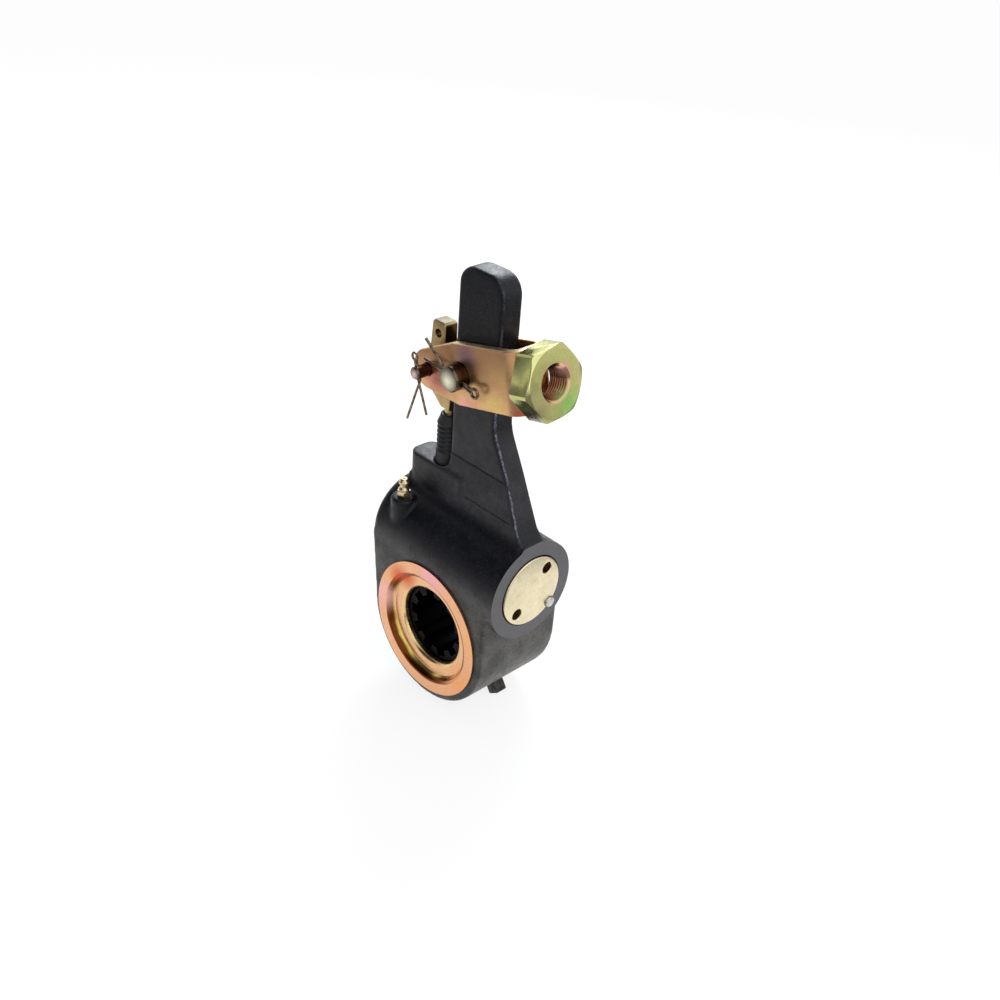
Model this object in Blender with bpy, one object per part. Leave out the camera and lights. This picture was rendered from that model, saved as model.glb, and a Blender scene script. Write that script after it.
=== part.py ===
# Brake slack adjuster for an S-cam drum brake.
# The camshaft turns about Y through the origin, the arm stands up +Z and the push rod pulls from +X.
import math

import bmesh
import bpy
from mathutils import Matrix, Vector

MM = 0.001
FIT = 0.3 * MM

# Main sizes
ARM_LENGTH = 139.7 * MM
CENTRE_DISTANCE = 38.6 * MM
BODY_RADIUS = 41.0 * MM
BODY_INSET = 0.3 * MM
BODY_LEFT_TOP = 44.6 * MM
BODY_ROUNDING = 2.4 * MM

# Worm barrel
BARREL_RADIUS = 26.6 * MM
BARREL_LEFT = -45.0 * MM
BARREL_RIGHT = 46.2 * MM
BARREL_ROUNDING = 4.0 * MM

# Arm
ARM_HALF_THICKNESS = 6.35 * MM
ARM_HALF_WIDTH = 14.6 * MM
ARM_SHIFT = 4.3 * MM
ARM_END_HEIGHT = 50.8 * MM
ARM_CORNER = 9.5 * MM
ARM_ROUNDING = 1.8 * MM
ARM_FLARE_HEIGHT = 117.0 * MM
ARM_FLARE_ROUNDING = 20.0 * MM
FLARE_FILLET = 5.0 * MM
SWEEP_DIP = 1.5 * MM
WEB_DROP = 24.0 * MM
WEB_FRONT = 8.0 * MM
WEB_FILLET = 8.0 * MM
WEB_INSET = 0.4 * MM

# Worm and wheel
MODULE = 2.0 * MM
WHEEL_TEETH = 26
PRESSURE_ANGLE = math.radians(20)
FLANK_PLAY = 0.2 * MM
WHEEL_HALF_WIDTH = 10.0 * MM
HUB_RADIUS = 25.0 * MM
HUB_DEPTH = 6.8 * MM
HUB_FACE_RADIUS = 20.6 * MM
HUB_STEP = 1.2 * MM
WORM_LEFT = -7.0 * MM
WORM_RIGHT = 13.0 * MM

# Camshaft spline, 1.5 inch with 10 teeth
SPLINE_TEETH = 10
SPLINE_MAJOR = 19.05 * MM
SPLINE_MINOR = 15.4 * MM
SPLINE_WIDTH = 5.94 * MM

# Wheel bushes, seals and covers
BUSH_WALL = 3.2 * MM
SEAL_INNER = 22.4 * MM
COVER_RADIUS = 37.0 * MM
COVER_SHEET = 0.9 * MM
COVER_SEAT = 31.3 * MM
COVER_DEPTH = 4.0 * MM
COVER_HOLE = 21.1 * MM

# Worm shaft, left to right
SPINDLE_RADIUS = 3.9 * MM
SPINDLE_LEFT = -56.0 * MM
HEX_ACROSS_FLATS = 11.1 * MM
HEX_LEFT = -58.0 * MM
HEX_JOURNAL = 6.2 * MM
LEFT_BORE = 9.3 * MM
LEFT_BUSH_LENGTH = 8.0 * MM
HEX_SEAL_THICKNESS = 1.6 * MM
RIGHT_JOURNAL = 7.0 * MM
RIGHT_BUSH_LENGTH = 6.5 * MM
WORM_BORE = 15.2 * MM
RACE_THICKNESS = 1.4 * MM
BALL_RADIUS = 2.0 * MM
BALL_COUNT = 8
PRELOAD_WIRE = 1.2 * MM
PRELOAD_TURNS = 3
SEAT_THICKNESS = 2.2 * MM

# Threaded cap in the barrel end
CAP_RADIUS = 18.7 * MM
CAP_LENGTH = 8.4 * MM
CAP_STANDS_OUT = 0.8 * MM
CAP_HOLE_RADIUS = 3.0 * MM
CAP_HOLE_PITCH = 13.6 * MM
CAP_HOLE_ANGLE = math.radians(47.3)
CAP_HOLE_DEPTH = 4.0 * MM
LOCK_PIN_RADIUS = 2.8 * MM
LOCK_PIN_ANGLE = math.radians(-42.3)
LOCK_PIN_DEPTH = 3.6 * MM
LOCK_PIN_STANDS_OUT = 2.0 * MM
O_RING_RADIUS = 1.0 * MM

# Rack, pinion and one-way clutch
RACK_X = -18.0 * MM
RACK_MODULE = 1.0 * MM
PINION_TEETH = 14
PINION_LEFT = -24.0 * MM
PINION_RIGHT = -17.0 * MM
PINION_HUB = 5.5 * MM
CLUTCH_WIRE = 0.55 * MM
CLUTCH_TURNS = 5
PLUNGER_RADIUS = 10.0 * MM
PLUNGER_STEM = 6.6 * MM
FLANGE_THICKNESS = 2.8 * MM
RACK_REACH = 12.0 * MM
RACK_SIDE = -16.9 * MM
PLUNGER_DROP = 2.0 * MM
PLUNGER_RISE = 10.0 * MM
SOCKET_RADIUS = 5.4 * MM
COLLAR_LENGTH = 3.2 * MM
COLLAR_HOLE = 4.0 * MM

# Shoulder and boot
SHOULDER_TOP = 82.5 * MM
SHOULDER_LEFT = -38.0 * MM
SHOULDER_HALF_THICKNESS = 8.6 * MM
SHOULDER_CORNER = 7.0 * MM
SHOULDER_FILLET = 6.0 * MM
BOOT_RADIUS = 6.4 * MM
BOOT_WALL = 1.0 * MM
BOOT_DEPTH = 4.2 * MM
BOOT_TO_LINK = 3.1 * MM
BOOT_FOLDS = 6
BOOT_LEAD_SHARE = 0.245
BOOT_NECK_SHARE = 0.19
BOOT_FOLD_DEPTH = 1.2 * MM

# Link between the clevis and the rack
LINK_HALF_THICKNESS = 4.0 * MM
LINK_RISE = 22.9 * MM
LINK_FOOT_DROP = 22.0 * MM
LINK_ROD = 3.0 * MM
LINK_BALL = 4.5 * MM
LINK_BALL_HEIGHT = 58.8 * MM
LINK_HOLE = 2.2 * MM

# Clevis, in its own axes: s along its length from the main pin, t across its height
CLEVIS_TILT = math.radians(14)
CLEVIS_HALF_HEIGHT = 15.0 * MM
CLEVIS_GAP = 7.1 * MM
CLEVIS_PLATE = 5.0 * MM
CLEVIS_BASE = 38.7 * MM
CLEVIS_BEND = 6.5 * MM
CLEVIS_TAPER_START = -3.0 * MM
CLEVIS_NOSE_RADIUS = 10.0 * MM
LINK_PIN_ARM = 23.2 * MM
NUT_ACROSS_CORNERS = 37.4 * MM
NUT_LENGTH = 11.3 * MM
NUT_TURN = math.radians(22.2)
NUT_BORE = 7.4 * MM
NUT_CHAMFER = 9.1 * MM

# Pins and cotters
MAIN_PIN_RADIUS = 6.35 * MM
MAIN_PIN_FRONT = -19.4 * MM
MAIN_PIN_HEAD = 9.0 * MM
LINK_PIN_RADIUS = 3.175 * MM
LINK_PIN_FRONT = -20.5 * MM
LINK_PIN_HEAD = 4.8 * MM
HEAD_THICKNESS = 3.2 * MM
ARM_BUSH_WALL = 1.6 * MM
MAIN_COTTER_WIRE = 0.75 * MM
MAIN_COTTER_Y = -15.6 * MM
MAIN_COTTER_EYE = (14.0, -2.5)
MAIN_COTTER_TIPS = ((-20.0, 12.0), (-20.0, 0.0))
LINK_COTTER_WIRE = 0.5 * MM
LINK_COTTER_Y = -18.1 * MM
LINK_COTTER_EYE = (-1.6, 7.0)
LINK_COTTER_TIPS = ((6.0, -22.0), (-6.4, -29.5))

# Grease fitting and plug
GREASE_X = -30.0 * MM
GREASE_INSET = 8.6 * MM
GREASE_BOSS = 6.6 * MM
GREASE_BOSS_RISE = 4.3 * MM
GREASE_THREAD = 3.0 * MM
GREASE_THREAD_LENGTH = 6.0 * MM
GREASE_HEX = 8.0 * MM
PLUG_ANGLE = math.radians(-55.6)
PLUG_Y = 3.0 * MM
PLUG_SHANK = 4.4 * MM
PLUG_SQUARE = 7.2 * MM
PLUG_HEAD = 7.0 * MM

# Round parts are faceted with these counts
WELD = 0.002 * MM
FINE_COUNT = 32
MEDIUM_COUNT = 20
COARSE_COUNT = 14
BOOT_COUNT = 10

# Sizes that follow
BODY_HALF_DEPTH = BARREL_RADIUS - BODY_INSET
HUB_HALF_LENGTH = BODY_HALF_DEPTH - HUB_DEPTH
WHEEL_PITCH_RADIUS = MODULE * WHEEL_TEETH / 2
WORM_PITCH_RADIUS = CENTRE_DISTANCE - WHEEL_PITCH_RADIUS
WHEEL_ROOT = WHEEL_PITCH_RADIUS - 1.25 * MODULE
WHEEL_TIP = WHEEL_PITCH_RADIUS + MODULE
WORM_TIP = WORM_PITCH_RADIUS + MODULE
WORM_ROOT = WORM_PITCH_RADIUS - 1.25 * MODULE
WORM_LEAD = math.pi * MODULE
LEAD_SLOPE = WORM_LEAD / (2 * math.pi * WORM_PITCH_RADIUS)
BUSH_RADIUS = HUB_RADIUS + FIT + BUSH_WALL
WHEEL_BORE = BUSH_RADIUS + FIT
PINION_PITCH_RADIUS = RACK_MODULE * PINION_TEETH / 2
PINION_TIP = PINION_PITCH_RADIUS + RACK_MODULE
FLANGE_BOTTOM = CENTRE_DISTANCE + PINION_TIP + PLUNGER_DROP + 0.6 * MM
FLANGE_TOP = FLANGE_BOTTOM + FLANGE_THICKNESS
RACK_BORE = PLUNGER_RADIUS + FIT
RACK_BORE_TOP = FLANGE_TOP + PLUNGER_RISE + FIT
STEM_BORE = PLUNGER_STEM + FIT
STEM_TOP = LINK_BALL_HEIGHT + 7.2 * MM
CAP_SEAT = BARREL_RIGHT + CAP_STANDS_OUT - CAP_LENGTH
CAP_BORE = CAP_RADIUS + FIT
LOCK_PIN_PITCH = CAP_RADIUS - 0.9 * MM
ARM_BUSH_RADIUS = MAIN_PIN_RADIUS + FIT + ARM_BUSH_WALL
ARM_HOLE = ARM_BUSH_RADIUS + FIT
CLEVIS_OUTER = CLEVIS_GAP + CLEVIS_PLATE
LINK_PIN_X = -LINK_PIN_ARM * math.cos(CLEVIS_TILT)
LINK_PIN_Z = ARM_LENGTH - LINK_PIN_ARM * math.sin(CLEVIS_TILT)
LINK_TOP = LINK_PIN_Z + LINK_RISE
LINK_FOOT = LINK_PIN_Z - LINK_FOOT_DROP
BOOT_TOP = LINK_FOOT - BOOT_TO_LINK
FLARE_REACH = BARREL_RIGHT - 0.4 * MM
GREASE_Y = GREASE_INSET - BARREL_RADIUS
WEB_TOP = ARM_FLARE_HEIGHT - WEB_DROP
RACK_FOOT = CENTRE_DISTANCE - RACK_REACH
GREASE_BOSS_TOP = CENTRE_DISTANCE + math.sqrt(BARREL_RADIUS ** 2 - GREASE_Y ** 2) + GREASE_BOSS_RISE
LEFT_BUSH_END = BARREL_LEFT + 1.2 * MM + HEX_SEAL_THICKNESS
SPINDLE_BORE = SPINDLE_RADIUS + FIT

for leftover in list(bpy.data.objects):
    bpy.data.objects.remove(leftover, do_unlink=True)


# Materials

def finish(name, colour, roughness, metallic):
    material = bpy.data.materials.new(name)
    material.use_nodes = True
    shader = material.node_tree.nodes["Principled BSDF"]
    shader.inputs["Base Color"].default_value = (*colour, 1.0)
    shader.inputs["Roughness"].default_value = roughness
    shader.inputs["Metallic"].default_value = metallic
    return material


BLACK_PAINT = ((0.018, 0.019, 0.024), 0.42, 0.0)
YELLOW_ZINC = ((0.72, 0.47, 0.22), 0.28, 1.0)
PALE_ZINC = ((0.80, 0.72, 0.50), 0.30, 1.0)
GREEN_ZINC = ((0.58, 0.56, 0.28), 0.26, 1.0)
BRIGHT_STEEL = ((0.62, 0.61, 0.60), 0.25, 1.0)
DARK_STEEL = ((0.16, 0.13, 0.11), 0.40, 1.0)
BRONZE = ((0.55, 0.36, 0.16), 0.38, 1.0)
RUBBER = ((0.012, 0.012, 0.013), 0.62, 0.0)


# Shapes

def place_on(axis, u, v, w):
    """A point with w along the axis and u, v across it, in right-handed order."""
    if axis == "X":
        return Vector((w, u, v))
    if axis == "Y":
        return Vector((v, w, u))
    return Vector((u, v, w))


def prism(outline, low, high, axis):
    """Extrude an outline of (x, z), (y, z) or (x, y) points along Y, X or Z."""
    bm = bmesh.new()
    corners = []
    for u, v in outline:
        point = Vector((u, low, v)) if axis == "Y" else place_on(axis, u, v, low)
        corners.append(bm.verts.new(point))
    face = bm.faces.new(corners)
    grown = bmesh.ops.extrude_face_region(bm, geom=[face])
    shift = place_on(axis, 0, 0, high - low)
    moved = [item for item in grown["geom"] if isinstance(item, bmesh.types.BMVert)]
    bmesh.ops.translate(bm, verts=moved, vec=shift)
    bmesh.ops.recalc_face_normals(bm, faces=bm.faces)
    return bm


def turned(profile, axis, steps, closed=True):
    """Spin a profile of (radius, along) points round the axis. An open profile ends on the axis."""
    bm = bmesh.new()
    rows = [bm.verts.new(place_on(axis, radius, 0, along)) for radius, along in profile]
    edges = [bm.edges.new(pair) for pair in zip(rows, rows[1:])]
    if closed:
        edges.append(bm.edges.new((rows[-1], rows[0])))
    bmesh.ops.spin(bm, geom=rows + edges, cent=(0, 0, 0), axis=place_on(axis, 0, 0, 1),
                   angle=2 * math.pi, steps=steps, use_merge=True)
    bmesh.ops.remove_doubles(bm, verts=bm.verts, dist=0.001 * MM)
    bmesh.ops.recalc_face_normals(bm, faces=bm.faces)
    return bm


def rod(radius, low, high, axis, steps):
    return turned([(0, low), (radius, low), (radius, high), (0, high)], axis, steps, closed=False)


def ring(inner, outer, low, high, axis, steps):
    return turned([(inner, low), (outer, low), (outer, high), (inner, high)], axis, steps)


def moved(bm, x=0.0, y=0.0, z=0.0):
    bmesh.ops.translate(bm, verts=bm.verts, vec=(x, y, z))
    return bm


def rounded(corners, steps=4):
    """Outline points from (u, v, radius) corners, each radius a tangent arc."""
    points = []
    count = len(corners)
    for index, (u, v, radius) in enumerate(corners):
        here = Vector((u, v))
        if radius == 0:
            points.append((u, v))
            continue
        before = (Vector(corners[index - 1][:2]) - here).normalized()
        after = (Vector(corners[(index + 1) % count][:2]) - here).normalized()
        half = before.angle(after) / 2
        centre = here + (before + after).normalized() * (radius / math.sin(half))
        start = here + before * (radius / math.tan(half)) - centre
        end = here + after * (radius / math.tan(half)) - centre
        sweep = start.angle_signed(end)
        for step in range(steps + 1):
            arm = start.copy()
            arm.rotate(Matrix.Rotation(-sweep * step / steps, 2))
            points.append(tuple(centre + arm))
    return points


def arc(centre, radius, start, end, steps):
    points = []
    for step in range(steps + 1):
        angle = start + (end - start) * step / steps
        points.append((centre[0] + radius * math.cos(angle), centre[1] + radius * math.sin(angle)))
    return points


def polygon(sides, across_flats, turn=0.0):
    radius = across_flats / 2 / math.cos(math.pi / sides)
    angles = [turn + 2 * math.pi * side / sides for side in range(sides)]
    return [(radius * math.cos(angle), radius * math.sin(angle)) for angle in angles]


def tube(path, radius, sides):
    """A round wire along a path, with closed ends."""
    bm = bmesh.new()
    tangents = []
    for index, point in enumerate(path):
        ahead = path[min(index + 1, len(path) - 1)]
        behind = path[max(index - 1, 0)]
        tangents.append((ahead - behind).normalized())
    side = tangents[0].orthogonal().normalized()
    rings = []
    for index, (point, tangent) in enumerate(zip(path, tangents)):
        if index:
            side.rotate(tangents[index - 1].rotation_difference(tangent))
        other = tangent.cross(side)
        loop = []
        for step in range(sides):
            angle = 2 * math.pi * step / sides
            loop.append(bm.verts.new(point + radius * (math.cos(angle) * side + math.sin(angle) * other)))
        rings.append(loop)
    for first, second in zip(rings, rings[1:]):
        for step in range(sides):
            after = (step + 1) % sides
            bm.faces.new((first[step], first[after], second[after], second[step]))
    bm.faces.new(rings[0])
    bm.faces.new(rings[-1])
    bmesh.ops.recalc_face_normals(bm, faces=bm.faces)
    bmesh.ops.triangulate(bm, faces=bm.faces)
    return bm


def smooth_path(points, steps):
    """A Catmull-Rom curve through the points."""
    path = []
    padded = [2 * points[0] - points[1]] + points + [2 * points[-1] - points[-2]]
    for before, start, end, after in zip(padded, padded[1:], padded[2:], padded[3:]):
        for step in range(steps):
            t = step / steps
            path.append(0.5 * (2 * start + (end - before) * t
                               + (2 * before - 5 * start + 4 * end - after) * t * t
                               + (3 * start - before - 3 * end + after) * t ** 3))
    path.append(points[-1])
    return path


def bevel_rims(bm, axis, width, steps, keep=lambda middle: True):
    """Round the edges that lie in the two end faces of a prism along the axis."""
    letter = "XYZ".index(axis)
    levels = [vert.co[letter] for vert in bm.verts]
    low, high = min(levels), max(levels)
    rim = []
    for edge in bm.edges:
        ends = [vert.co[letter] for vert in edge.verts]
        flat = abs(ends[0] - ends[1]) < 0.001 * MM
        at_end = min(abs(ends[0] - low), abs(ends[0] - high)) < 0.001 * MM
        if flat and at_end and keep((edge.verts[0].co + edge.verts[1].co) / 2):
            rim.append(edge)
    bmesh.ops.bevel(bm, geom=rim, offset=width, segments=steps, profile=0.5, affect="EDGES",
                    clamp_overlap=True)
    return bm


# Objects

def piece(name, bm, look, origin=(0, 0, 0), parent=None):
    """A named object with its own material. The mesh is given about the origin."""
    mesh = bpy.data.meshes.new(name)
    bm.to_mesh(mesh)
    bm.free()
    obj = bpy.data.objects.new(name, mesh)
    obj.location = origin
    obj.parent = parent
    bpy.context.scene.collection.objects.link(obj)
    obj.data.materials.append(finish(name + "_finish", *look))
    return obj


def combine(target, bm, operation):
    """Join, cut or intersect an object with a second shape in the same local axes."""
    mesh = bpy.data.meshes.new("tool")
    bm.to_mesh(mesh)
    bm.free()
    tool = bpy.data.objects.new("tool", mesh)
    bpy.context.scene.collection.objects.link(tool)
    bpy.context.view_layer.update()
    tool.matrix_world = target.matrix_world
    step = target.modifiers.new("step", "BOOLEAN")
    step.operation = operation
    step.solver = "EXACT"
    step.object = tool
    bpy.context.view_layer.update()
    evaluated = target.evaluated_get(bpy.context.evaluated_depsgraph_get())
    result = bpy.data.meshes.new_from_object(evaluated)
    welded = bmesh.new()
    welded.from_mesh(result)
    bmesh.ops.remove_doubles(welded, verts=welded.verts, dist=WELD)
    bmesh.ops.dissolve_degenerate(welded, dist=WELD, edges=welded.edges)
    welded.to_mesh(result)
    welded.free()
    target.modifiers.clear()
    target.data = result
    bpy.data.objects.remove(tool, do_unlink=True)


def join(target, bm):
    combine(target, bm, "UNION")


def cut(target, bm):
    combine(target, bm, "DIFFERENCE")


def smooth_round(obj, degrees=35):
    obj.data.shade_smooth()
    obj.data.set_sharp_from_angle(angle=math.radians(degrees))


def pivot(name, location, turn=0.0):
    """An empty on a joint's axis, turned about Y."""
    empty = bpy.data.objects.new(name, None)
    empty.location = location
    empty.rotation_euler = (0, turn, 0)
    empty.empty_display_size = 10 * MM
    bpy.context.scene.collection.objects.link(empty)
    return empty


# Gear forms

def involute(angle):
    return math.tan(angle) - angle


def tooth_half_angle(radius, pitch_radius, teeth, play):
    base = pitch_radius * math.cos(PRESSURE_ANGLE)
    at_pitch = math.pi / (2 * teeth) - play / pitch_radius
    pressure = math.acos(min(1.0, base / radius))
    return at_pitch + involute(PRESSURE_ANGLE) - involute(pressure)


def gear_outline(module, teeth, play, turn, flank_steps=2):
    """Outline of an involute gear as (along first axis, along second axis), with a gap at angle turn."""
    pitch_radius = module * teeth / 2
    base = pitch_radius * math.cos(PRESSURE_ANGLE)
    tip = pitch_radius + module
    root = pitch_radius - 1.25 * module
    low = max(base, root)
    radii = [low + (tip - low) * step / flank_steps for step in range(flank_steps + 1)]
    outline = []
    for tooth in range(teeth):
        middle = turn + 2 * math.pi * (tooth + 0.5) / teeth
        flank = [(radius, tooth_half_angle(radius, pitch_radius, teeth, play)) for radius in radii]
        if root < low:
            flank.insert(0, (root, flank[0][1]))
        for radius, half in flank:
            outline.append((radius * math.cos(middle - half), radius * math.sin(middle - half)))
        for radius, half in reversed(flank):
            outline.append((radius * math.cos(middle + half), radius * math.sin(middle + half)))
    return outline


def helical_wheel():
    """The toothed ring, twisted along Y by the worm's lead, with a gap facing the worm at mid width."""
    bm = bmesh.new()
    rows = []
    row_count = 3
    for row in range(row_count):
        y = -WHEEL_HALF_WIDTH + 2 * WHEEL_HALF_WIDTH * row / (row_count - 1)
        twist = y * LEAD_SLOPE / WHEEL_PITCH_RADIUS
        outline = gear_outline(MODULE, WHEEL_TEETH, FLANK_PLAY, twist)
        rows.append([bm.verts.new((across, y, up)) for up, across in outline])
    for low, high in zip(rows, rows[1:]):
        for index in range(len(low)):
            after = (index + 1) % len(low)
            bm.faces.new((low[index], low[after], high[after], high[index]))
    bm.faces.new(rows[0])
    bm.faces.new(rows[-1])
    bmesh.ops.recalc_face_normals(bm, faces=bm.faces)
    return bm


def worm_thread():
    """One start of a right-hand screw: a profile of one pitch wound round X."""
    column_count = 20
    slope = math.tan(PRESSURE_ANGLE)
    crest = WORM_LEAD / 4 - MODULE * slope - FLANK_PLAY
    foot = WORM_LEAD / 4 + 1.25 * MODULE * slope - FLANK_PLAY
    profile = [(-foot, WORM_ROOT), (-crest, WORM_TIP), (crest, WORM_TIP), (foot, WORM_ROOT)]
    turns = math.ceil((WORM_RIGHT - WORM_LEFT) / WORM_LEAD) + 2
    first = math.floor(WORM_LEFT / WORM_LEAD) - 1
    bm = bmesh.new()
    columns = []
    for column in range(column_count):
        share = column / column_count
        angle = 2 * math.pi * share - math.pi / 2
        rows = []
        for turn in range(turns + (1 if column == 0 else 0)):
            for offset, radius in profile:
                x = (first + turn + share) * WORM_LEAD + offset
                rows.append(bm.verts.new((x, radius * math.cos(angle), radius * math.sin(angle))))
        columns.append(rows)
    count = turns * len(profile)
    start_rim = []
    end_rim = []
    for column in range(column_count):
        here = columns[column]
        wraps = column == column_count - 1
        there = columns[0][len(profile):] if wraps else columns[column + 1]
        for row in range(count - 1):
            bm.faces.new((here[row], there[row], there[row + 1], here[row + 1]))
        start_rim.append(here[0])
        end_rim.append(here[count - 1])
    for rim, extra in ((start_rim, columns[0][:len(profile) + 1]), (end_rim, columns[0][count - 1:])):
        loop = rim + [columns[0][len(profile)] if rim is start_rim else columns[0][-1]]
        seam = extra[1:-1]
        loop += list(reversed(seam))
        middle = sum((vert.co for vert in rim), Vector()) / len(rim)
        hub = bm.verts.new((middle.x, 0, 0))
        for vert, after in zip(loop, loop[1:] + loop[:1]):
            bm.faces.new((vert, after, hub))
    bmesh.ops.recalc_face_normals(bm, faces=bm.faces)
    return moved(bm, z=CENTRE_DISTANCE)


def rack_teeth_cutter():
    """The gaps of the rack, one below the other, centred on the pinion's height."""
    slope = math.tan(PRESSURE_ANGLE)
    pitch = math.pi * RACK_MODULE
    root_y = PINION_PITCH_RADIUS + 1.25 * RACK_MODULE
    mouth_y = PINION_PITCH_RADIUS - 2.0 * RACK_MODULE
    shapes = []
    for step in range(-4, 4):
        middle = CENTRE_DISTANCE + (step + 0.5) * pitch
        if middle < RACK_FOOT or middle + pitch / 2 > FLANGE_BOTTOM:
            continue
        at_root = pitch / 4 - 1.25 * RACK_MODULE * slope + FLANK_PLAY
        at_mouth = pitch / 4 + 2.0 * RACK_MODULE * slope + FLANK_PLAY
        outline = [(mouth_y, middle - at_mouth), (root_y, middle - at_root),
                   (root_y, middle + at_root), (mouth_y, middle + at_mouth)]
        shapes.append(prism(outline, RACK_X - 2 * PLUNGER_RADIUS, RACK_X + 2 * PLUNGER_RADIUS, "X"))
    return shapes


def spline_outline():
    points = []
    for tooth in range(SPLINE_TEETH):
        middle = 2 * math.pi * tooth / SPLINE_TEETH
        inner = math.asin(SPLINE_WIDTH / 2 / SPLINE_MINOR)
        outer = math.asin(SPLINE_WIDTH / 2 / SPLINE_MAJOR)
        for radius, angle in ((SPLINE_MINOR, middle - inner), (SPLINE_MAJOR, middle - outer),
                              (SPLINE_MAJOR, middle + outer), (SPLINE_MINOR, middle + inner),
                              (SPLINE_MINOR, middle + math.pi / SPLINE_TEETH)):
            points.append((radius * math.cos(angle), radius * math.sin(angle)))
    return points


# Housing

def arm_outline():
    left = ARM_SHIFT - ARM_HALF_WIDTH
    right = ARM_SHIFT + ARM_HALF_WIDTH
    top = ARM_LENGTH + ARM_END_HEIGHT
    span = ARM_FLARE_HEIGHT - CENTRE_DISTANCE - BARREL_RADIUS
    reach = FLARE_REACH - right
    foot = CENTRE_DISTANCE + BARREL_RADIUS - 0.4 * MM
    root = CENTRE_DISTANCE + 3 * MM
    return rounded([
        (left, top, ARM_CORNER),
        (left, SHOULDER_TOP, SHOULDER_FILLET),
        (left - 2 * SHOULDER_FILLET, SHOULDER_TOP, 0),
        (left - 2 * SHOULDER_FILLET, root, 0),
        (FLARE_REACH, root, 0),
        (FLARE_REACH, foot, 0),
        (FLARE_REACH - 0.7 * FLARE_FILLET, foot, FLARE_FILLET),
        (right + reach * 0.4, foot + span * 0.62, 0),
        (right, ARM_FLARE_HEIGHT, ARM_FLARE_ROUNDING),
        (right, top, ARM_CORNER),
    ])


def web_outline():
    """The arm's outline below the web's top edge, a little narrower than the arm."""
    whole = [(x - math.copysign(WEB_INSET, x - ARM_SHIFT), z) for x, z in arm_outline()]
    points = []
    for (x, z), (next_x, next_z) in zip(whole, whole[1:] + whole[:1]):
        if z <= WEB_TOP:
            points.append((x, z))
        if (z > WEB_TOP) != (next_z > WEB_TOP):
            share = (WEB_TOP - z) / (next_z - z)
            points.append((x + (next_x - x) * share, WEB_TOP))
    return points


def sweep_side(half):
    """The concave line from a web of this half thickness down to the barrel, as (y, z) points."""
    centre_y = half + WEB_FILLET
    rise = math.sqrt((BARREL_RADIUS + WEB_FILLET) ** 2 - centre_y ** 2)
    touch = math.atan2(-rise, -centre_y) + 2 * math.pi
    line = arc((centre_y, CENTRE_DISTANCE + rise), WEB_FILLET, math.pi, touch, 5)
    share = (BARREL_RADIUS - SWEEP_DIP) / (BARREL_RADIUS + WEB_FILLET)
    return line + [(centre_y * share, CENTRE_DISTANCE + rise * share)]


def sweep_section():
    """The closed section of the sweep from the barrel up to the web in front and the arm behind."""
    front = [(-y, z) for y, z in reversed(sweep_side(WEB_FRONT))]
    rear = sweep_side(ARM_HALF_THICKNESS)
    return rear + [(0, CENTRE_DISTANCE + 5 * MM)] + front


def make_housing():
    body = [(-BODY_LEFT_TOP, CENTRE_DISTANCE)]
    body += arc((0, 0), BODY_RADIUS, math.pi, 2 * math.pi, 28)
    body += [(BODY_RADIUS, CENTRE_DISTANCE)]
    shape = prism(body, -BODY_HALF_DEPTH, BODY_HALF_DEPTH, "Y")
    bevel_rims(shape, "Y", BODY_ROUNDING, 2, lambda middle: middle.z < CENTRE_DISTANCE - 1 * MM)
    housing = piece("housing", shape, BLACK_PAINT)

    inset = BARREL_ROUNDING * (1 - math.sqrt(0.5))
    barrel = [(0, BARREL_LEFT), (BARREL_RADIUS - BARREL_ROUNDING, BARREL_LEFT),
              (BARREL_RADIUS - inset, BARREL_LEFT + inset),
              (BARREL_RADIUS, BARREL_LEFT + BARREL_ROUNDING), (BARREL_RADIUS, BARREL_RIGHT),
              (0, BARREL_RIGHT)]
    join(housing, moved(turned(barrel, "X", FINE_COUNT, closed=False), z=CENTRE_DISTANCE))

    web = prism(web_outline(), -WEB_FRONT, ARM_HALF_THICKNESS / 2, "Y")
    join(housing, bevel_rims(web, "Y", 1.2 * MM, 1, lambda middle: middle.y < -1 * MM))
    arm = prism(arm_outline(), -ARM_HALF_THICKNESS, ARM_HALF_THICKNESS, "Y")
    join(housing, bevel_rims(arm, "Y", ARM_ROUNDING, 2))
    sweep = prism(sweep_section(), SHOULDER_LEFT + 0.5 * MM, FLARE_REACH - 0.4 * MM, "X")
    join(housing, sweep)

    half = SHOULDER_HALF_THICKNESS
    plan = rounded([(SHOULDER_LEFT, -half, SHOULDER_CORNER), (0, -half, 0), (0, half, 0),
                    (SHOULDER_LEFT, half, SHOULDER_CORNER)])
    shoulder = prism(plan, CENTRE_DISTANCE, SHOULDER_TOP, "Z")
    join(housing, bevel_rims(shoulder, "Z", 1.2 * MM, 1, lambda middle: middle.z > CENTRE_DISTANCE + 1 * MM))

    boss = [(0, CENTRE_DISTANCE), (GREASE_BOSS, CENTRE_DISTANCE), (GREASE_BOSS, GREASE_BOSS_TOP - 1 * MM),
            (GREASE_BOSS - 1 * MM, GREASE_BOSS_TOP), (0, GREASE_BOSS_TOP)]
    join(housing, moved(turned(boss, "Z", COARSE_COUNT, closed=False), GREASE_X, GREASE_Y))

    cut_housing(housing)
    smooth_round(housing)
    return housing


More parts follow.
